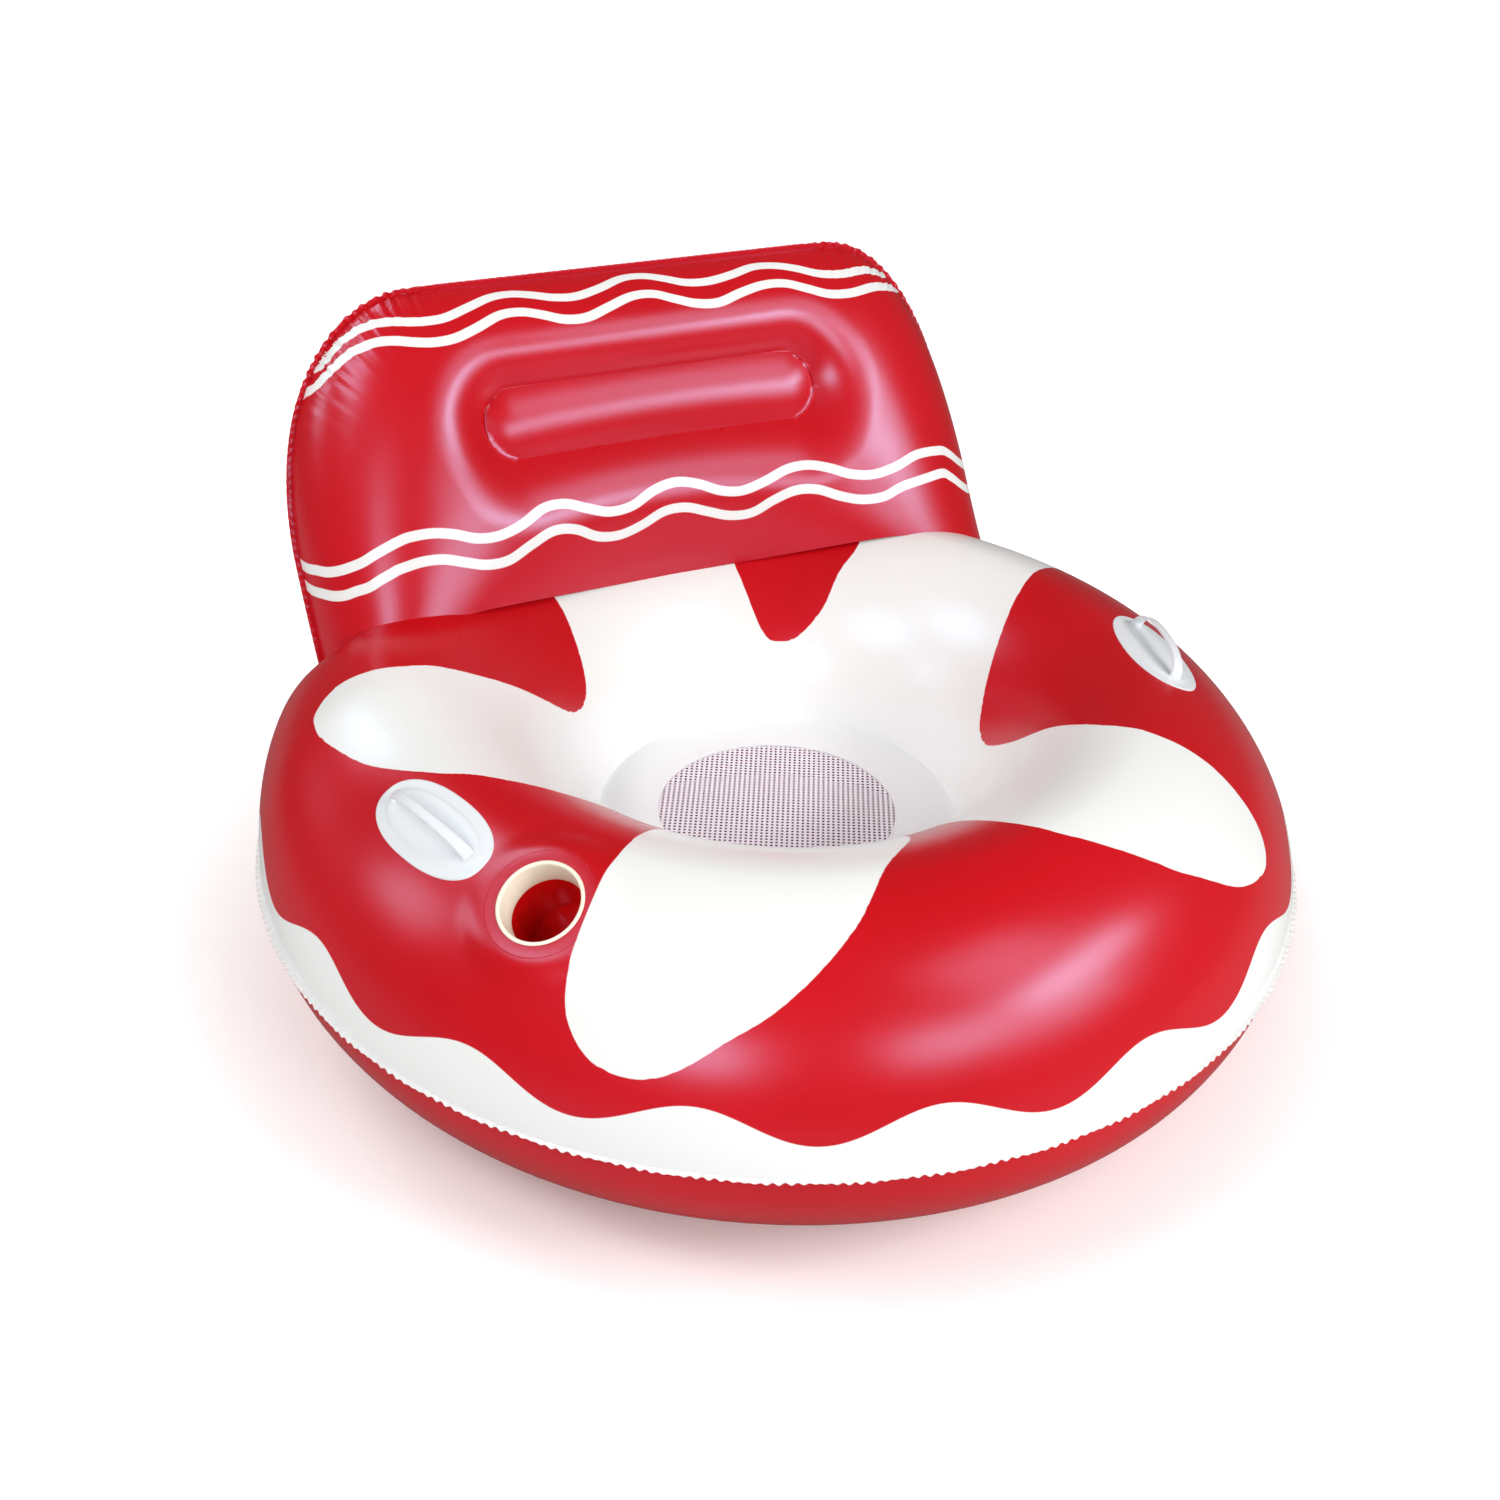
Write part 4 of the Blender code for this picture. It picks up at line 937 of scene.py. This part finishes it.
add_and_apply(net, "SOLIDIFY", thickness=NET_GAUGE, offset=0.0)
add_and_apply(net, "SUBSURF", levels=1, render_levels=1)
smooth(net, 60)
seat(net, "root", "white_net", "seat_net")
net_area = sum(face.area for face in net.data.polygons) / 2
print("net's area", round(net_area, 4))

# %% [markdown]
# ## Cup holder
# A stiff cream collar keeps the mouth open. A red sleeve hangs from it, creased where the film is loose, and
# a round base is welded into its lower end. All three are turned about the collar's own axis.

# %% Collar
CUP_MOUTH = 0.0365


def turn_in_frame(name, loop, steps, place):
    piece = spin_section(name, loop, steps)
    local = corners(piece)
    place_corners(piece, local_points(place, local[:, 0], local[:, 1], local[:, 2]))
    return piece


collar_loop = [
    (0.0365, -0.025), (0.0375, -0.018), (0.0382, -0.0125), (0.0385, -0.004), (0.0385, 0.0003), (0.0394, 0.0003),
    (0.0400, 0.0005), (0.0403, 0.0010), (0.0402, 0.0015), (0.0398, 0.0019), (0.0391, 0.0021), (0.0382, 0.0021),
    (0.0374, 0.0020), (0.0368, 0.0015), (0.0365, 0.0007), (0.0363, -0.001), (0.0360, -0.005), (0.0353, -0.015),
    (0.0346, -0.0240), (0.0347, -0.0248), (0.0352, -0.0251),
]
collar = smooth(turn_in_frame("cup_collar_moulding", collar_loop, 160, CUP_FRAME), 60)
seat(collar, "root", "cream_collar", "cup_collar")

# %% Sleeve and base
WELD_RING = 0.0510
ring_turn = np.linspace(0, 2 * math.pi, 401)[:-1]
weld_ring = np.stack((WELD_RING * np.cos(ring_turn), WELD_RING * np.sin(ring_turn)), axis=1)
surface = in_frame(CUP_FRAME, on_crown(CUP_FRAME, weld_ring[:, 0], weld_ring[:, 1], 0.0))
level = surface[:, 2] * (1 - flat_share(np.full(400, WELD_RING))) + FIT / 2
cup_weld = bead("cup_weld_line", local_points(CUP_FRAME, weld_ring[:, 0], weld_ring[:, 1], level), BEAD)
store(cup_weld, "print_edge", signed_distance(corners(cup_weld), swirl, closed=True, flat=(0, 1)))
seat(cup_weld, "root", "printed_red_film")
CUP_DEPTH = 0.085
SLEEVE = 0.0390
CREASES = ((5, 0.0007, 0.3), (9, 0.0005, 1.7), (14, 0.0003, 2.9))
flange = [(radius, -0.0011) for radius in np.linspace(0.0510, SLEEVE + 0.001, 8)]
wall = [(SLEEVE, level) for level in np.linspace(-0.0022, -CUP_DEPTH, 48)]
sleeve = spin_section("cup_sleeve", wall_loop(flange + wall, FILM), 200)
local = corners(sleeve)
distance = np.hypot(local[:, 0], local[:, 1])
turn = np.arctan2(local[:, 1], local[:, 0])
slack = np.clip((-local[:, 2] - 0.026) / 0.02, 0, 1) * np.clip((local[:, 2] + CUP_DEPTH) / 0.01, 0, 1)
fold = sum(depth * (np.sin(folds * turn + start + 25 * local[:, 2]) - 1) for folds, depth, start in CREASES)
local[:, :2] *= (1 + slack * fold / distance)[:, None]
on_flange = distance > SLEEVE + 0.0005
surface = in_frame(CUP_FRAME, on_crown(CUP_FRAME, local[:, 0], local[:, 1], 0.0))
local[:, 2] += np.where(on_flange, surface[:, 2] * (1 - flat_share(distance)), 0.0)
place_corners(sleeve, local_points(CUP_FRAME, local[:, 0], local[:, 1], local[:, 2]))
smooth(sleeve)
seat(sleeve, "root", "red_film", "cup_well")
base_level = -CUP_DEPTH - FIT
base_loop = [(0.0, base_level), (0.010, base_level + 0.0001), (0.030, base_level), (0.0380, base_level),
             (0.0432, base_level), (0.0436, base_level - SHEET / 2), (0.0432, base_level - SHEET),
             (0.0, base_level - SHEET)]
base = smooth(turn_in_frame("cup_base_disc", base_loop, 128, CUP_FRAME))
seat(base, "root", "red_film", "cup_base")

# %% [markdown]
# ## Grab handles
# Each handle is one moulding: an oval pad with a flat welded edge and a raised field, and an arched strap
# for the hand. The pad is a turned disc, stretched to its oval and laid on the crown. The strap is a rolled
# grid along an arch. A Boolean makes them one piece.

# %% Pad
PAD_LENGTH = 0.157
PAD_WIDTH = 0.076
PAD_FULLNESS = 2.3
PAD_MARGIN = 0.012
PAD_GAUGE = 0.0012
PAD_STEP = 0.0010
PAD_PROFILE = (
    (0.0, 0.0026), (0.25, 0.0026), (0.5, 0.00255), (0.75, 0.0025), (0.90, 0.00245), (0.955, 0.0024), (0.985, 0.0021),
    (1.0, 0.0018), (1.08, 0.00155), (1.22, 0.0015), (1.55, 0.0015), (1.80, 0.0016), (1.90, 0.0017), (1.96, 0.0015),
    (1.995, 0.0010), (2.0, 0.0006), (1.98, 0.0003), (1.5, 0.0003), (1.0, 0.0003), (0.5, 0.0003), (0.0, 0.0003),
)


def oval_point(turn, width, length, fullness):
    side = np.sign(np.cos(turn)) * np.abs(np.cos(turn)) ** (2 / fullness) * width / 2
    along = np.sign(np.sin(turn)) * np.abs(np.sin(turn)) ** (2 / fullness) * length / 2
    return side, along


def pad(name, place):
    """Radius 0 to 1 of the profile is the raised field, and 1 to 2 is the welded edge."""
    piece = spin_section(name, PAD_PROFILE, 144)
    flat = corners(piece)
    share = np.hypot(flat[:, 0], flat[:, 1])
    turn = np.arctan2(flat[:, 1], flat[:, 0])
    inner = oval_point(turn, PAD_WIDTH - 2 * PAD_MARGIN, PAD_LENGTH - 2 * PAD_MARGIN, PAD_FULLNESS)
    outer = oval_point(turn, PAD_WIDTH, PAD_LENGTH, PAD_FULLNESS)
    spread = np.clip(share - 1, 0, 1)
    across = inner[0] * np.minimum(share, 1) + (outer[0] - inner[0]) * spread
    along = inner[1] * np.minimum(share, 1) + (outer[1] - inner[1]) * spread
    place_corners(piece, on_crown(place, across, along, flat[:, 2]))
    return piece


# %% Strap
STRAP_LENGTH = 0.120
STRAP_WIDTH = 0.013
STRAP_RISE = 0.024
STRAP_GAUGE = 0.0030
STRAP_WAIST = 0.25
STRAP_FULLNESS = 2.4
STRAP_SECTION = ((-1, -0.7), (-0.97, 0.6), (-0.85, 1), (-0.4, 1.0), (0.4, 1.0), (0.85, 1), (0.97, 0.6), (1, -0.7),
                 (0.9, -1), (0.4, -0.9), (-0.4, -0.9), (-0.9, -1))


def strap(name, place):
    """A grid rolled round the strap's section and bent along its arch."""
    count = len(STRAP_SECTION)
    piece, along, around = grid_piece(name, 72, count)
    angle = math.pi * (along * 1.1 - 0.05)
    side = -np.sign(np.cos(angle)) * np.abs(np.cos(angle)) ** (2 / STRAP_FULLNESS)
    up = np.sign(np.sin(angle)) * np.abs(np.sin(angle)) ** (2 / STRAP_FULLNESS)
    half = STRAP_LENGTH / 2 - STRAP_GAUGE / 2
    rise = STRAP_RISE - STRAP_GAUGE / 2
    path = np.stack((side * half, np.clip(up, -0.12, 1) * rise), axis=1)
    ahead = angle + 0.01
    before = angle - 0.01
    run = []
    for step in (before, ahead):
        run.append(np.stack((-np.sign(np.cos(step)) * np.abs(np.cos(step)) ** (2 / STRAP_FULLNESS) * half,
                             np.sign(np.sin(step)) * np.abs(np.sin(step)) ** (2 / STRAP_FULLNESS) * rise), axis=1))
    run = run[1] - run[0]
    run /= np.linalg.norm(run, axis=1, keepdims=True)
    index = np.rint(around * count).astype(int) % count
    shape = np.array(STRAP_SECTION)[index]
    width = STRAP_WIDTH / 2 * (1 - STRAP_WAIST * np.clip(up, 0, 1))
    lift = shape[:, 1] * STRAP_GAUGE / 2
    local_along = path[:, 0] - run[:, 1] * lift
    local_up = path[:, 1] + run[:, 0] * lift
    place_corners(piece, local_points(place, shape[:, 0] * width, local_along, local_up))
    return close_ends(face_outwards(piece))


def handle(name, place, node):
    piece = pad(name, place)
    band = strap("strap", place)
    add_and_apply(piece, "BOOLEAN", operation="UNION", solver="EXACT", object=band)
    bpy.data.objects.remove(band)
    smooth(piece, 50)
    return seat(piece, "root", "white_moulding", node)


left_handle = handle("grab_handle_left_moulding", LEFT_FRAME, "grab_handle_left")
right_handle = handle("grab_handle_right_moulding", RIGHT_FRAME, "grab_handle_right")

# %% [markdown]
# ## Finishes
# Vinyl film has a soft gloss. Its roller leaves a very fine grain, the air pressure leaves it slightly wavy,
# and hands leave it a little duller in places. These three are one shader group, which every film uses
# at the same strength.

# %% Helpers for shader nodes


def wire(tree, source, target):
    tree.links.new(source, target)


def add_node(tree, kind, place, **inputs):
    made = tree.nodes.new(kind)
    made.location = place
    for key, value in inputs.items():
        if key in made.inputs:
            made.inputs[key].default_value = value
        else:
            setattr(made, key, value)
    return made


def open_group(name, inputs, outputs):
    group = bpy.data.node_groups.new(name, "ShaderNodeTree")
    for label, kind, value in inputs:
        socket = group.interface.new_socket(name=label, in_out="INPUT", socket_type=kind)
        if value is not None:
            socket.default_value = value
    for label, kind in outputs:
        group.interface.new_socket(name=label, in_out="OUTPUT", socket_type=kind)
    return group, group.nodes.new("NodeGroupInput"), group.nodes.new("NodeGroupOutput")


def math_node(tree, operation, first, second=0.0, place=(0, 0), clamp=False):
    made = tree.nodes.new("ShaderNodeMath")
    made.operation = operation
    made.use_clamp = clamp
    made.location = place
    for socket, value in zip(made.inputs, (first, second)):
        if isinstance(value, (int, float)):
            socket.default_value = value
        else:
            tree.links.new(value, socket)
    return made.outputs[0]


# %% Film surface group
film_surface, ends_in, ends_out = open_group(
    "film_surface",
    (("Grain Size", "NodeSocketFloat", 900.0), ("Grain", "NodeSocketFloat", 0.04), ("Wave Size", "NodeSocketFloat", 22.0),
     ("Waves", "NodeSocketFloat", 1.0), ("Marks", "NodeSocketFloat", 0.02)),
    (("Height", "NodeSocketFloat"), ("Marks", "NodeSocketFloat"), ("Shade", "NodeSocketFloat")),
)
where = add_node(film_surface, "ShaderNodeTexCoord", (-900, 0))
grain = add_node(film_surface, "ShaderNodeTexNoise", (-600, 200), Detail=2.0)
waves = add_node(film_surface, "ShaderNodeTexNoise", (-600, 0), Detail=1.0)
marks = add_node(film_surface, "ShaderNodeTexNoise", (-600, -200), Scale=9.0, Detail=6.0, Roughness=0.62)
shade = add_node(film_surface, "ShaderNodeTexNoise", (-600, -400), Scale=3.5, Detail=3.0)
for texture in (grain, waves, marks, shade):
    wire(film_surface, where.outputs["Object"], texture.inputs["Vector"])
wire(film_surface, ends_in.outputs["Grain Size"], grain.inputs["Scale"])
wire(film_surface, ends_in.outputs["Wave Size"], waves.inputs["Scale"])
fine = math_node(film_surface, "MULTIPLY", grain.outputs["Fac"], ends_in.outputs["Grain"], (-300, 200))
broad = math_node(film_surface, "MULTIPLY", waves.outputs["Fac"], ends_in.outputs["Waves"], (-300, 0))
wire(film_surface, math_node(film_surface, "ADD", fine, broad, (-100, 100)), ends_out.inputs["Height"])
off = math_node(film_surface, "SUBTRACT", marks.outputs["Fac"], 0.5, (-300, -200))
wire(film_surface, math_node(film_surface, "MULTIPLY", off, ends_in.outputs["Marks"], (-100, -200)),
     ends_out.inputs["Marks"])
wire(film_surface, shade.outputs["Fac"], ends_out.inputs["Shade"])
print("film_surface has", len(film_surface.nodes), "nodes")

# %% Film materials
RING_GLOSS = 0.60
BACKREST_GLOSS = 0.78
RED = (0.60, 0.0030, 0.0072, 1.0)
DEEP_RED = (0.55, 0.0030, 0.0050, 1.0)
WHITE = (0.90, 0.90, 0.88, 1.0)
GLOSS_TINT = (0.38, 0.67, 1.0, 1.0)


def film_material(name, colour, deep, roughness, waves=1.0):
    """Vinyl film whose colour drifts a little between two shades."""
    material = bpy.data.materials.new(name)
    material.use_nodes = True
    tree = material.node_tree
    shader = tree.nodes["Principled BSDF"]
    shader.inputs["Specular Tint"].default_value = GLOSS_TINT
    surface = add_node(tree, "ShaderNodeGroup", (-900, -200), node_tree=film_surface)
    surface.inputs["Waves"].default_value = waves
    tint = add_node(tree, "ShaderNodeMix", (-400, 200), data_type="RGBA")
    tint.inputs["A"].default_value = deep
    tint.inputs["B"].default_value = colour
    drift = add_node(tree, "ShaderNodeMapRange", (-650, 150))
    drift.inputs["From Min"].default_value = 0.35
    drift.inputs["From Max"].default_value = 0.60
    wire(tree, surface.outputs["Shade"], drift.inputs["Value"])
    wire(tree, drift.outputs["Result"], tint.inputs["Factor"])
    wire(tree, tint.outputs["Result"], shader.inputs["Base Color"])
    wire(tree, math_node(tree, "ADD", surface.outputs["Marks"], roughness, (-400, -100)), shader.inputs["Roughness"])
    bump = add_node(tree, "ShaderNodeBump", (-400, -300), Strength=0.16, Distance=0.001)
    wire(tree, surface.outputs["Height"], bump.inputs["Height"])
    wire(tree, bump.outputs["Normal"], shader.inputs["Normal"])
    return material, tree, shader, tint


def attribute(tree, name, place):
    made = tree.nodes.new("ShaderNodeAttribute")
    made.attribute_name = name
    made.location = place
    return made.outputs["Fac"]


def sharp_mask(tree, value, place, soft=0.0005):
    """1 where the value is above 0, over a border that is a millimetre wide."""
    made = add_node(tree, "ShaderNodeMapRange", place, interpolation_type="SMOOTHSTEP")
    made.inputs["From Min"].default_value = -soft
    made.inputs["From Max"].default_value = soft
    tree.links.new(value, made.inputs["Value"])
    return made.outputs["Result"]


def print_over(tree, shader, tint, mask):
    """White ink over the film's own red."""
    ink = add_node(tree, "ShaderNodeMix", (-180, 300), data_type="RGBA")
    wire(tree, mask, ink.inputs["Factor"])
    wire(tree, tint.outputs["Result"], ink.inputs["A"])
    ink.inputs["B"].default_value = WHITE
    wire(tree, ink.outputs["Result"], shader.inputs["Base Color"])


def dress(piece, material):
    piece.data.materials.clear()
    piece.data.materials.append(material)


ring_print, tree, shader, tint = film_material("vinyl_ring_print", RED, DEEP_RED, 0.27)
print_over(tree, shader, tint, sharp_mask(tree, attribute(tree, "print_edge", (-900, 500)), (-650, 500)))
shader.inputs["Specular IOR Level"].default_value = RING_GLOSS
dress(top_film, ring_print)

back_print, tree, shader, tint = film_material("vinyl_backrest_print", RED, DEEP_RED, 0.27)
mask = None
for number in range(len(STRIPES)):
    off = math_node(tree, "ABSOLUTE", attribute(tree, f"stripe_{number + 1}", (-1300, 600 - 150 * number)))
    left = math_node(tree, "SUBTRACT", STRIPE_WIDTH / 2, off, (-1100, 600 - 150 * number))
    mask = left if mask is None else math_node(tree, "MAXIMUM", mask, left, (-900, 600 - 150 * number))
print_over(tree, shader, tint, sharp_mask(tree, mask, (-650, 500)))
shader.inputs["Specular IOR Level"].default_value = BACKREST_GLOSS
dress(front_film, back_print)

plain_red = film_material("vinyl_plain_red", RED, DEEP_RED, 0.27)[0]
white_film = film_material("vinyl_white", (0.84, 0.86, 0.87, 1.0), (0.80, 0.82, 0.84, 1.0), 0.34)[0]
# Painted light: the cup's sleeve and base get a brighter red than the ring's film, standing in for light inside the
# deep cup.
cup_red_painted_lit = film_material("vinyl_cup_red", (0.82, 0.0070, 0.0060, 1.0), (0.74, 0.0050, 0.0050, 1.0), 0.24)[0]
border_white = film_material("vinyl_seat_border", (0.93, 0.93, 0.93, 1.0), (0.90, 0.91, 0.92, 1.0), 0.34)[0]
cream = film_material("moulded_cream", (0.98, 0.94, 0.80, 1.0), (0.95, 0.89, 0.72, 1.0), 0.30)[0]
# The threads are white; their pink tint is painted red bounce light from the ring.
net_thread_painted_pink = film_material("net_thread_painted_pink", (0.94, 0.86, 0.92, 1.0), (0.90, 0.78, 0.86, 1.0), 0.5)[0]
clear = film_material("clear_valve_plastic", (0.78, 0.80, 0.82, 1.0), (0.72, 0.75, 0.78, 1.0), 0.25)[0]
dress(outer_weld, ring_print)
dress(cup_weld, ring_print)
for piece in (bottom_film, rear_film, back_weld, recess_weld):
    dress(piece, plain_red)
for piece in (sleeve, base):
    dress(piece, cup_red_painted_lit)
for piece in (left_handle, right_handle):
    dress(piece, white_film)
dress(border, border_white)
dress(collar, cream)
dress(net, net_thread_painted_pink)
for name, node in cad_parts.items():
    if not node.hide_render:
        if "valve" in name:
            dress(node, clear)
        elif "web" in name:
            dress(node, plain_red)
        else:
            dress(node, white_film)
        print("CAD node kept:", name)

# %% [markdown]
# ## Floor and light
# The photograph is cut out on white. The floor is a pale plane that only the camera and glass see a
# little brighter, so that it ends near white and still keeps the chair's soft shadow. Under the seat the
# floor is painted dark mauve, painted shade and red bounce light that show through the net, and glossy rays
# see it painted a darker grey, a painted shade in its reflection on the film. The highlights on the film
# tell where the lamps stood: a large one at the front right, a smaller one at the front left, and a
# weak one at the left.

# %% Floor and world
FLOOR_SIZE = 30.0
AMBIENT = 0.17
GLOSS_SHARE = 0.12
select_nothing()
bpy.ops.mesh.primitive_plane_add(size=FLOOR_SIZE)
floor = named("floor")
paper = bpy.data.materials.new("white_paper")
paper.use_nodes = True
tree = paper.node_tree
shader = tree.nodes["Principled BSDF"]
shader.inputs["Roughness"].default_value = 0.9
shader.inputs["Specular IOR Level"].default_value = 0.0
shader.inputs["Emission Color"].default_value = (1.0, 1.0, 1.0, 1.0)
fibre = add_node(tree, "ShaderNodeTexNoise", (-400, -200), Scale=400.0)
rough = add_node(tree, "ShaderNodeMapRange", (-200, -200))
rough.inputs["To Min"].default_value = 0.85
rough.inputs["To Max"].default_value = 0.95
wire(tree, fibre.outputs["Fac"], rough.inputs["Value"])
wire(tree, rough.outputs["Result"], shader.inputs["Roughness"])


FLOOR_LIFT = 0.50
rays = add_node(tree, "ShaderNodeLightPath", (-900, 300))
direct = math_node(tree, "MAXIMUM", rays.outputs["Is Camera Ray"], rays.outputs["Is Transmission Ray"], (-700, 300))
where = add_node(tree, "ShaderNodeTexCoord", (-1300, 600))
away = add_node(tree, "ShaderNodeVectorMath", (-1100, 600), operation="LENGTH")
wire(tree, where.outputs["Object"], away.inputs[0])
clear_of = add_node(tree, "ShaderNodeMapRange", (-900, 600), interpolation_type="SMOOTHSTEP")
clear_of.inputs["From Min"].default_value = 0.30
clear_of.inputs["From Max"].default_value = 0.85
wire(tree, away.outputs["Value"], clear_of.inputs["Value"])
# Painted shade: the floor turns dark mauve under the seat, standing in for the shade and red bounce light there.
painted_shade_reach = add_node(tree, "ShaderNodeMapRange", (-900, 850), interpolation_type="SMOOTHSTEP")
painted_shade_reach.inputs["From Min"].default_value = 0.24
painted_shade_reach.inputs["From Max"].default_value = 0.32
wire(tree, away.outputs["Value"], painted_shade_reach.inputs["Value"])
lift = math_node(tree, "MULTIPLY", direct, clear_of.outputs["Result"], (-500, 300))
near_lift = math_node(tree, "MULTIPLY", lift, FLOOR_LIFT, (-300, 300))
far_off = add_node(tree, "ShaderNodeMapRange", (-900, 1100), interpolation_type="SMOOTHSTEP")
far_off.inputs["From Min"].default_value = 1.8
far_off.inputs["From Max"].default_value = 7.0
far_off.inputs["To Max"].default_value = 0.5
wire(tree, away.outputs["Value"], far_off.inputs["Value"])
far_lift = math_node(tree, "MULTIPLY", direct, far_off.outputs["Result"], (-300, 500))
wire(tree, math_node(tree, "ADD", near_lift, far_lift, (-150, 400)), shader.inputs["Emission Strength"])
# Painted shade in reflections: glossy rays see the floor as a 0.30 grey, so its reflection on the film is darker
# than the lit floor.
painted_gloss_floor_mix = add_node(tree, "ShaderNodeMix", (-300, 100), data_type="RGBA")
# Dark mauve under the seat is painted shade and red bounce light; the pale grey further out is the floor's own
# colour.
painted_shade_under_seat = add_node(tree, "ShaderNodeMix", (-500, 100), data_type="RGBA")
painted_shade_under_seat.inputs["A"].default_value = (0.15, 0.035, 0.075, 1.0)
painted_shade_under_seat.inputs["B"].default_value = (0.93, 0.93, 0.93, 1.0)
wire(tree, painted_shade_reach.outputs["Result"], painted_shade_under_seat.inputs["Factor"])
wire(tree, painted_shade_under_seat.outputs["Result"], painted_gloss_floor_mix.inputs["A"])
painted_gloss_floor_mix.inputs["B"].default_value = (0.30, 0.30, 0.30, 1.0)
wire(tree, rays.outputs["Is Glossy Ray"], painted_gloss_floor_mix.inputs["Factor"])
wire(tree, painted_gloss_floor_mix.outputs["Result"], shader.inputs["Base Color"])
dress(floor, paper)

world = bpy.data.worlds.new("white_room")
bpy.context.scene.world = world
world.use_nodes = True
tree = world.node_tree
background = tree.nodes["Background"]
background.inputs["Color"].default_value = (1.0, 1.0, 1.0, 1.0)
rays = add_node(tree, "ShaderNodeLightPath", (-900, 100))
shown = math_node(tree, "MAXIMUM", rays.outputs["Is Camera Ray"], rays.outputs["Is Transmission Ray"], (-700, 200))
gloss = math_node(tree, "MULTIPLY", rays.outputs["Is Glossy Ray"], GLOSS_SHARE, (-700, 0))
shown = math_node(tree, "ADD", shown, gloss, (-500, 100))
plain = math_node(tree, "MULTIPLY", rays.outputs["Is Diffuse Ray"], AMBIENT, (-500, -100))
wire(tree, math_node(tree, "ADD", shown, plain, (-300, 0)), background.inputs["Strength"])

# %% Lamps
LEVEL = 0.92
LAMPS = (
    ("front_right_strip", 44.0, 33.0, 5.0, 2.4, 0.55, 76.0),
    ("front_right_softbox", 35.0, 28.0, 5.0, 1.8, 1.4, 44.0),
    ("front_softbox", 10.0, 28.0, 5.0, 1.8, 1.0, 53.0),
    ("high_right_softbox", 35.0, 50.0, 5.0, 1.8, 1.2, 27.0),
    ("front_left_softbox", -40.0, 28.0, 5.0, 1.2, 1.2, 58.0),
    ("left_softbox", -115.0, 28.0, 5.0, 1.2, 1.2, 24.0),
    ("high_left_softbox", -90.0, 50.0, 5.0, 1.8, 1.4, 54.0),
    ("rear_left_softbox", -140.0, 50.0, 5.0, 1.8, 1.4, 48.0),
)
for name, azimuth, elevation, distance, wide, high, power in LAMPS:
    direction = from_the_middle(math.radians(azimuth), math.radians(elevation))
    bpy.ops.object.light_add(type="AREA", location=CAMERA_TARGET + direction * distance)
    lamp = bpy.context.object
    lamp.name = name
    lamp.rotation_euler = direction.to_track_quat("Z", "Y").to_euler()
    lamp.data.shape = "RECTANGLE"
    lamp.data.size = wide
    lamp.data.size_y = high
    lamp.data.energy = power * LEVEL
    print(name, "stands at", [round(value, 2) for value in lamp.location])

# %% Finish
view = bpy.context.scene.view_settings
view.view_transform = "Standard"
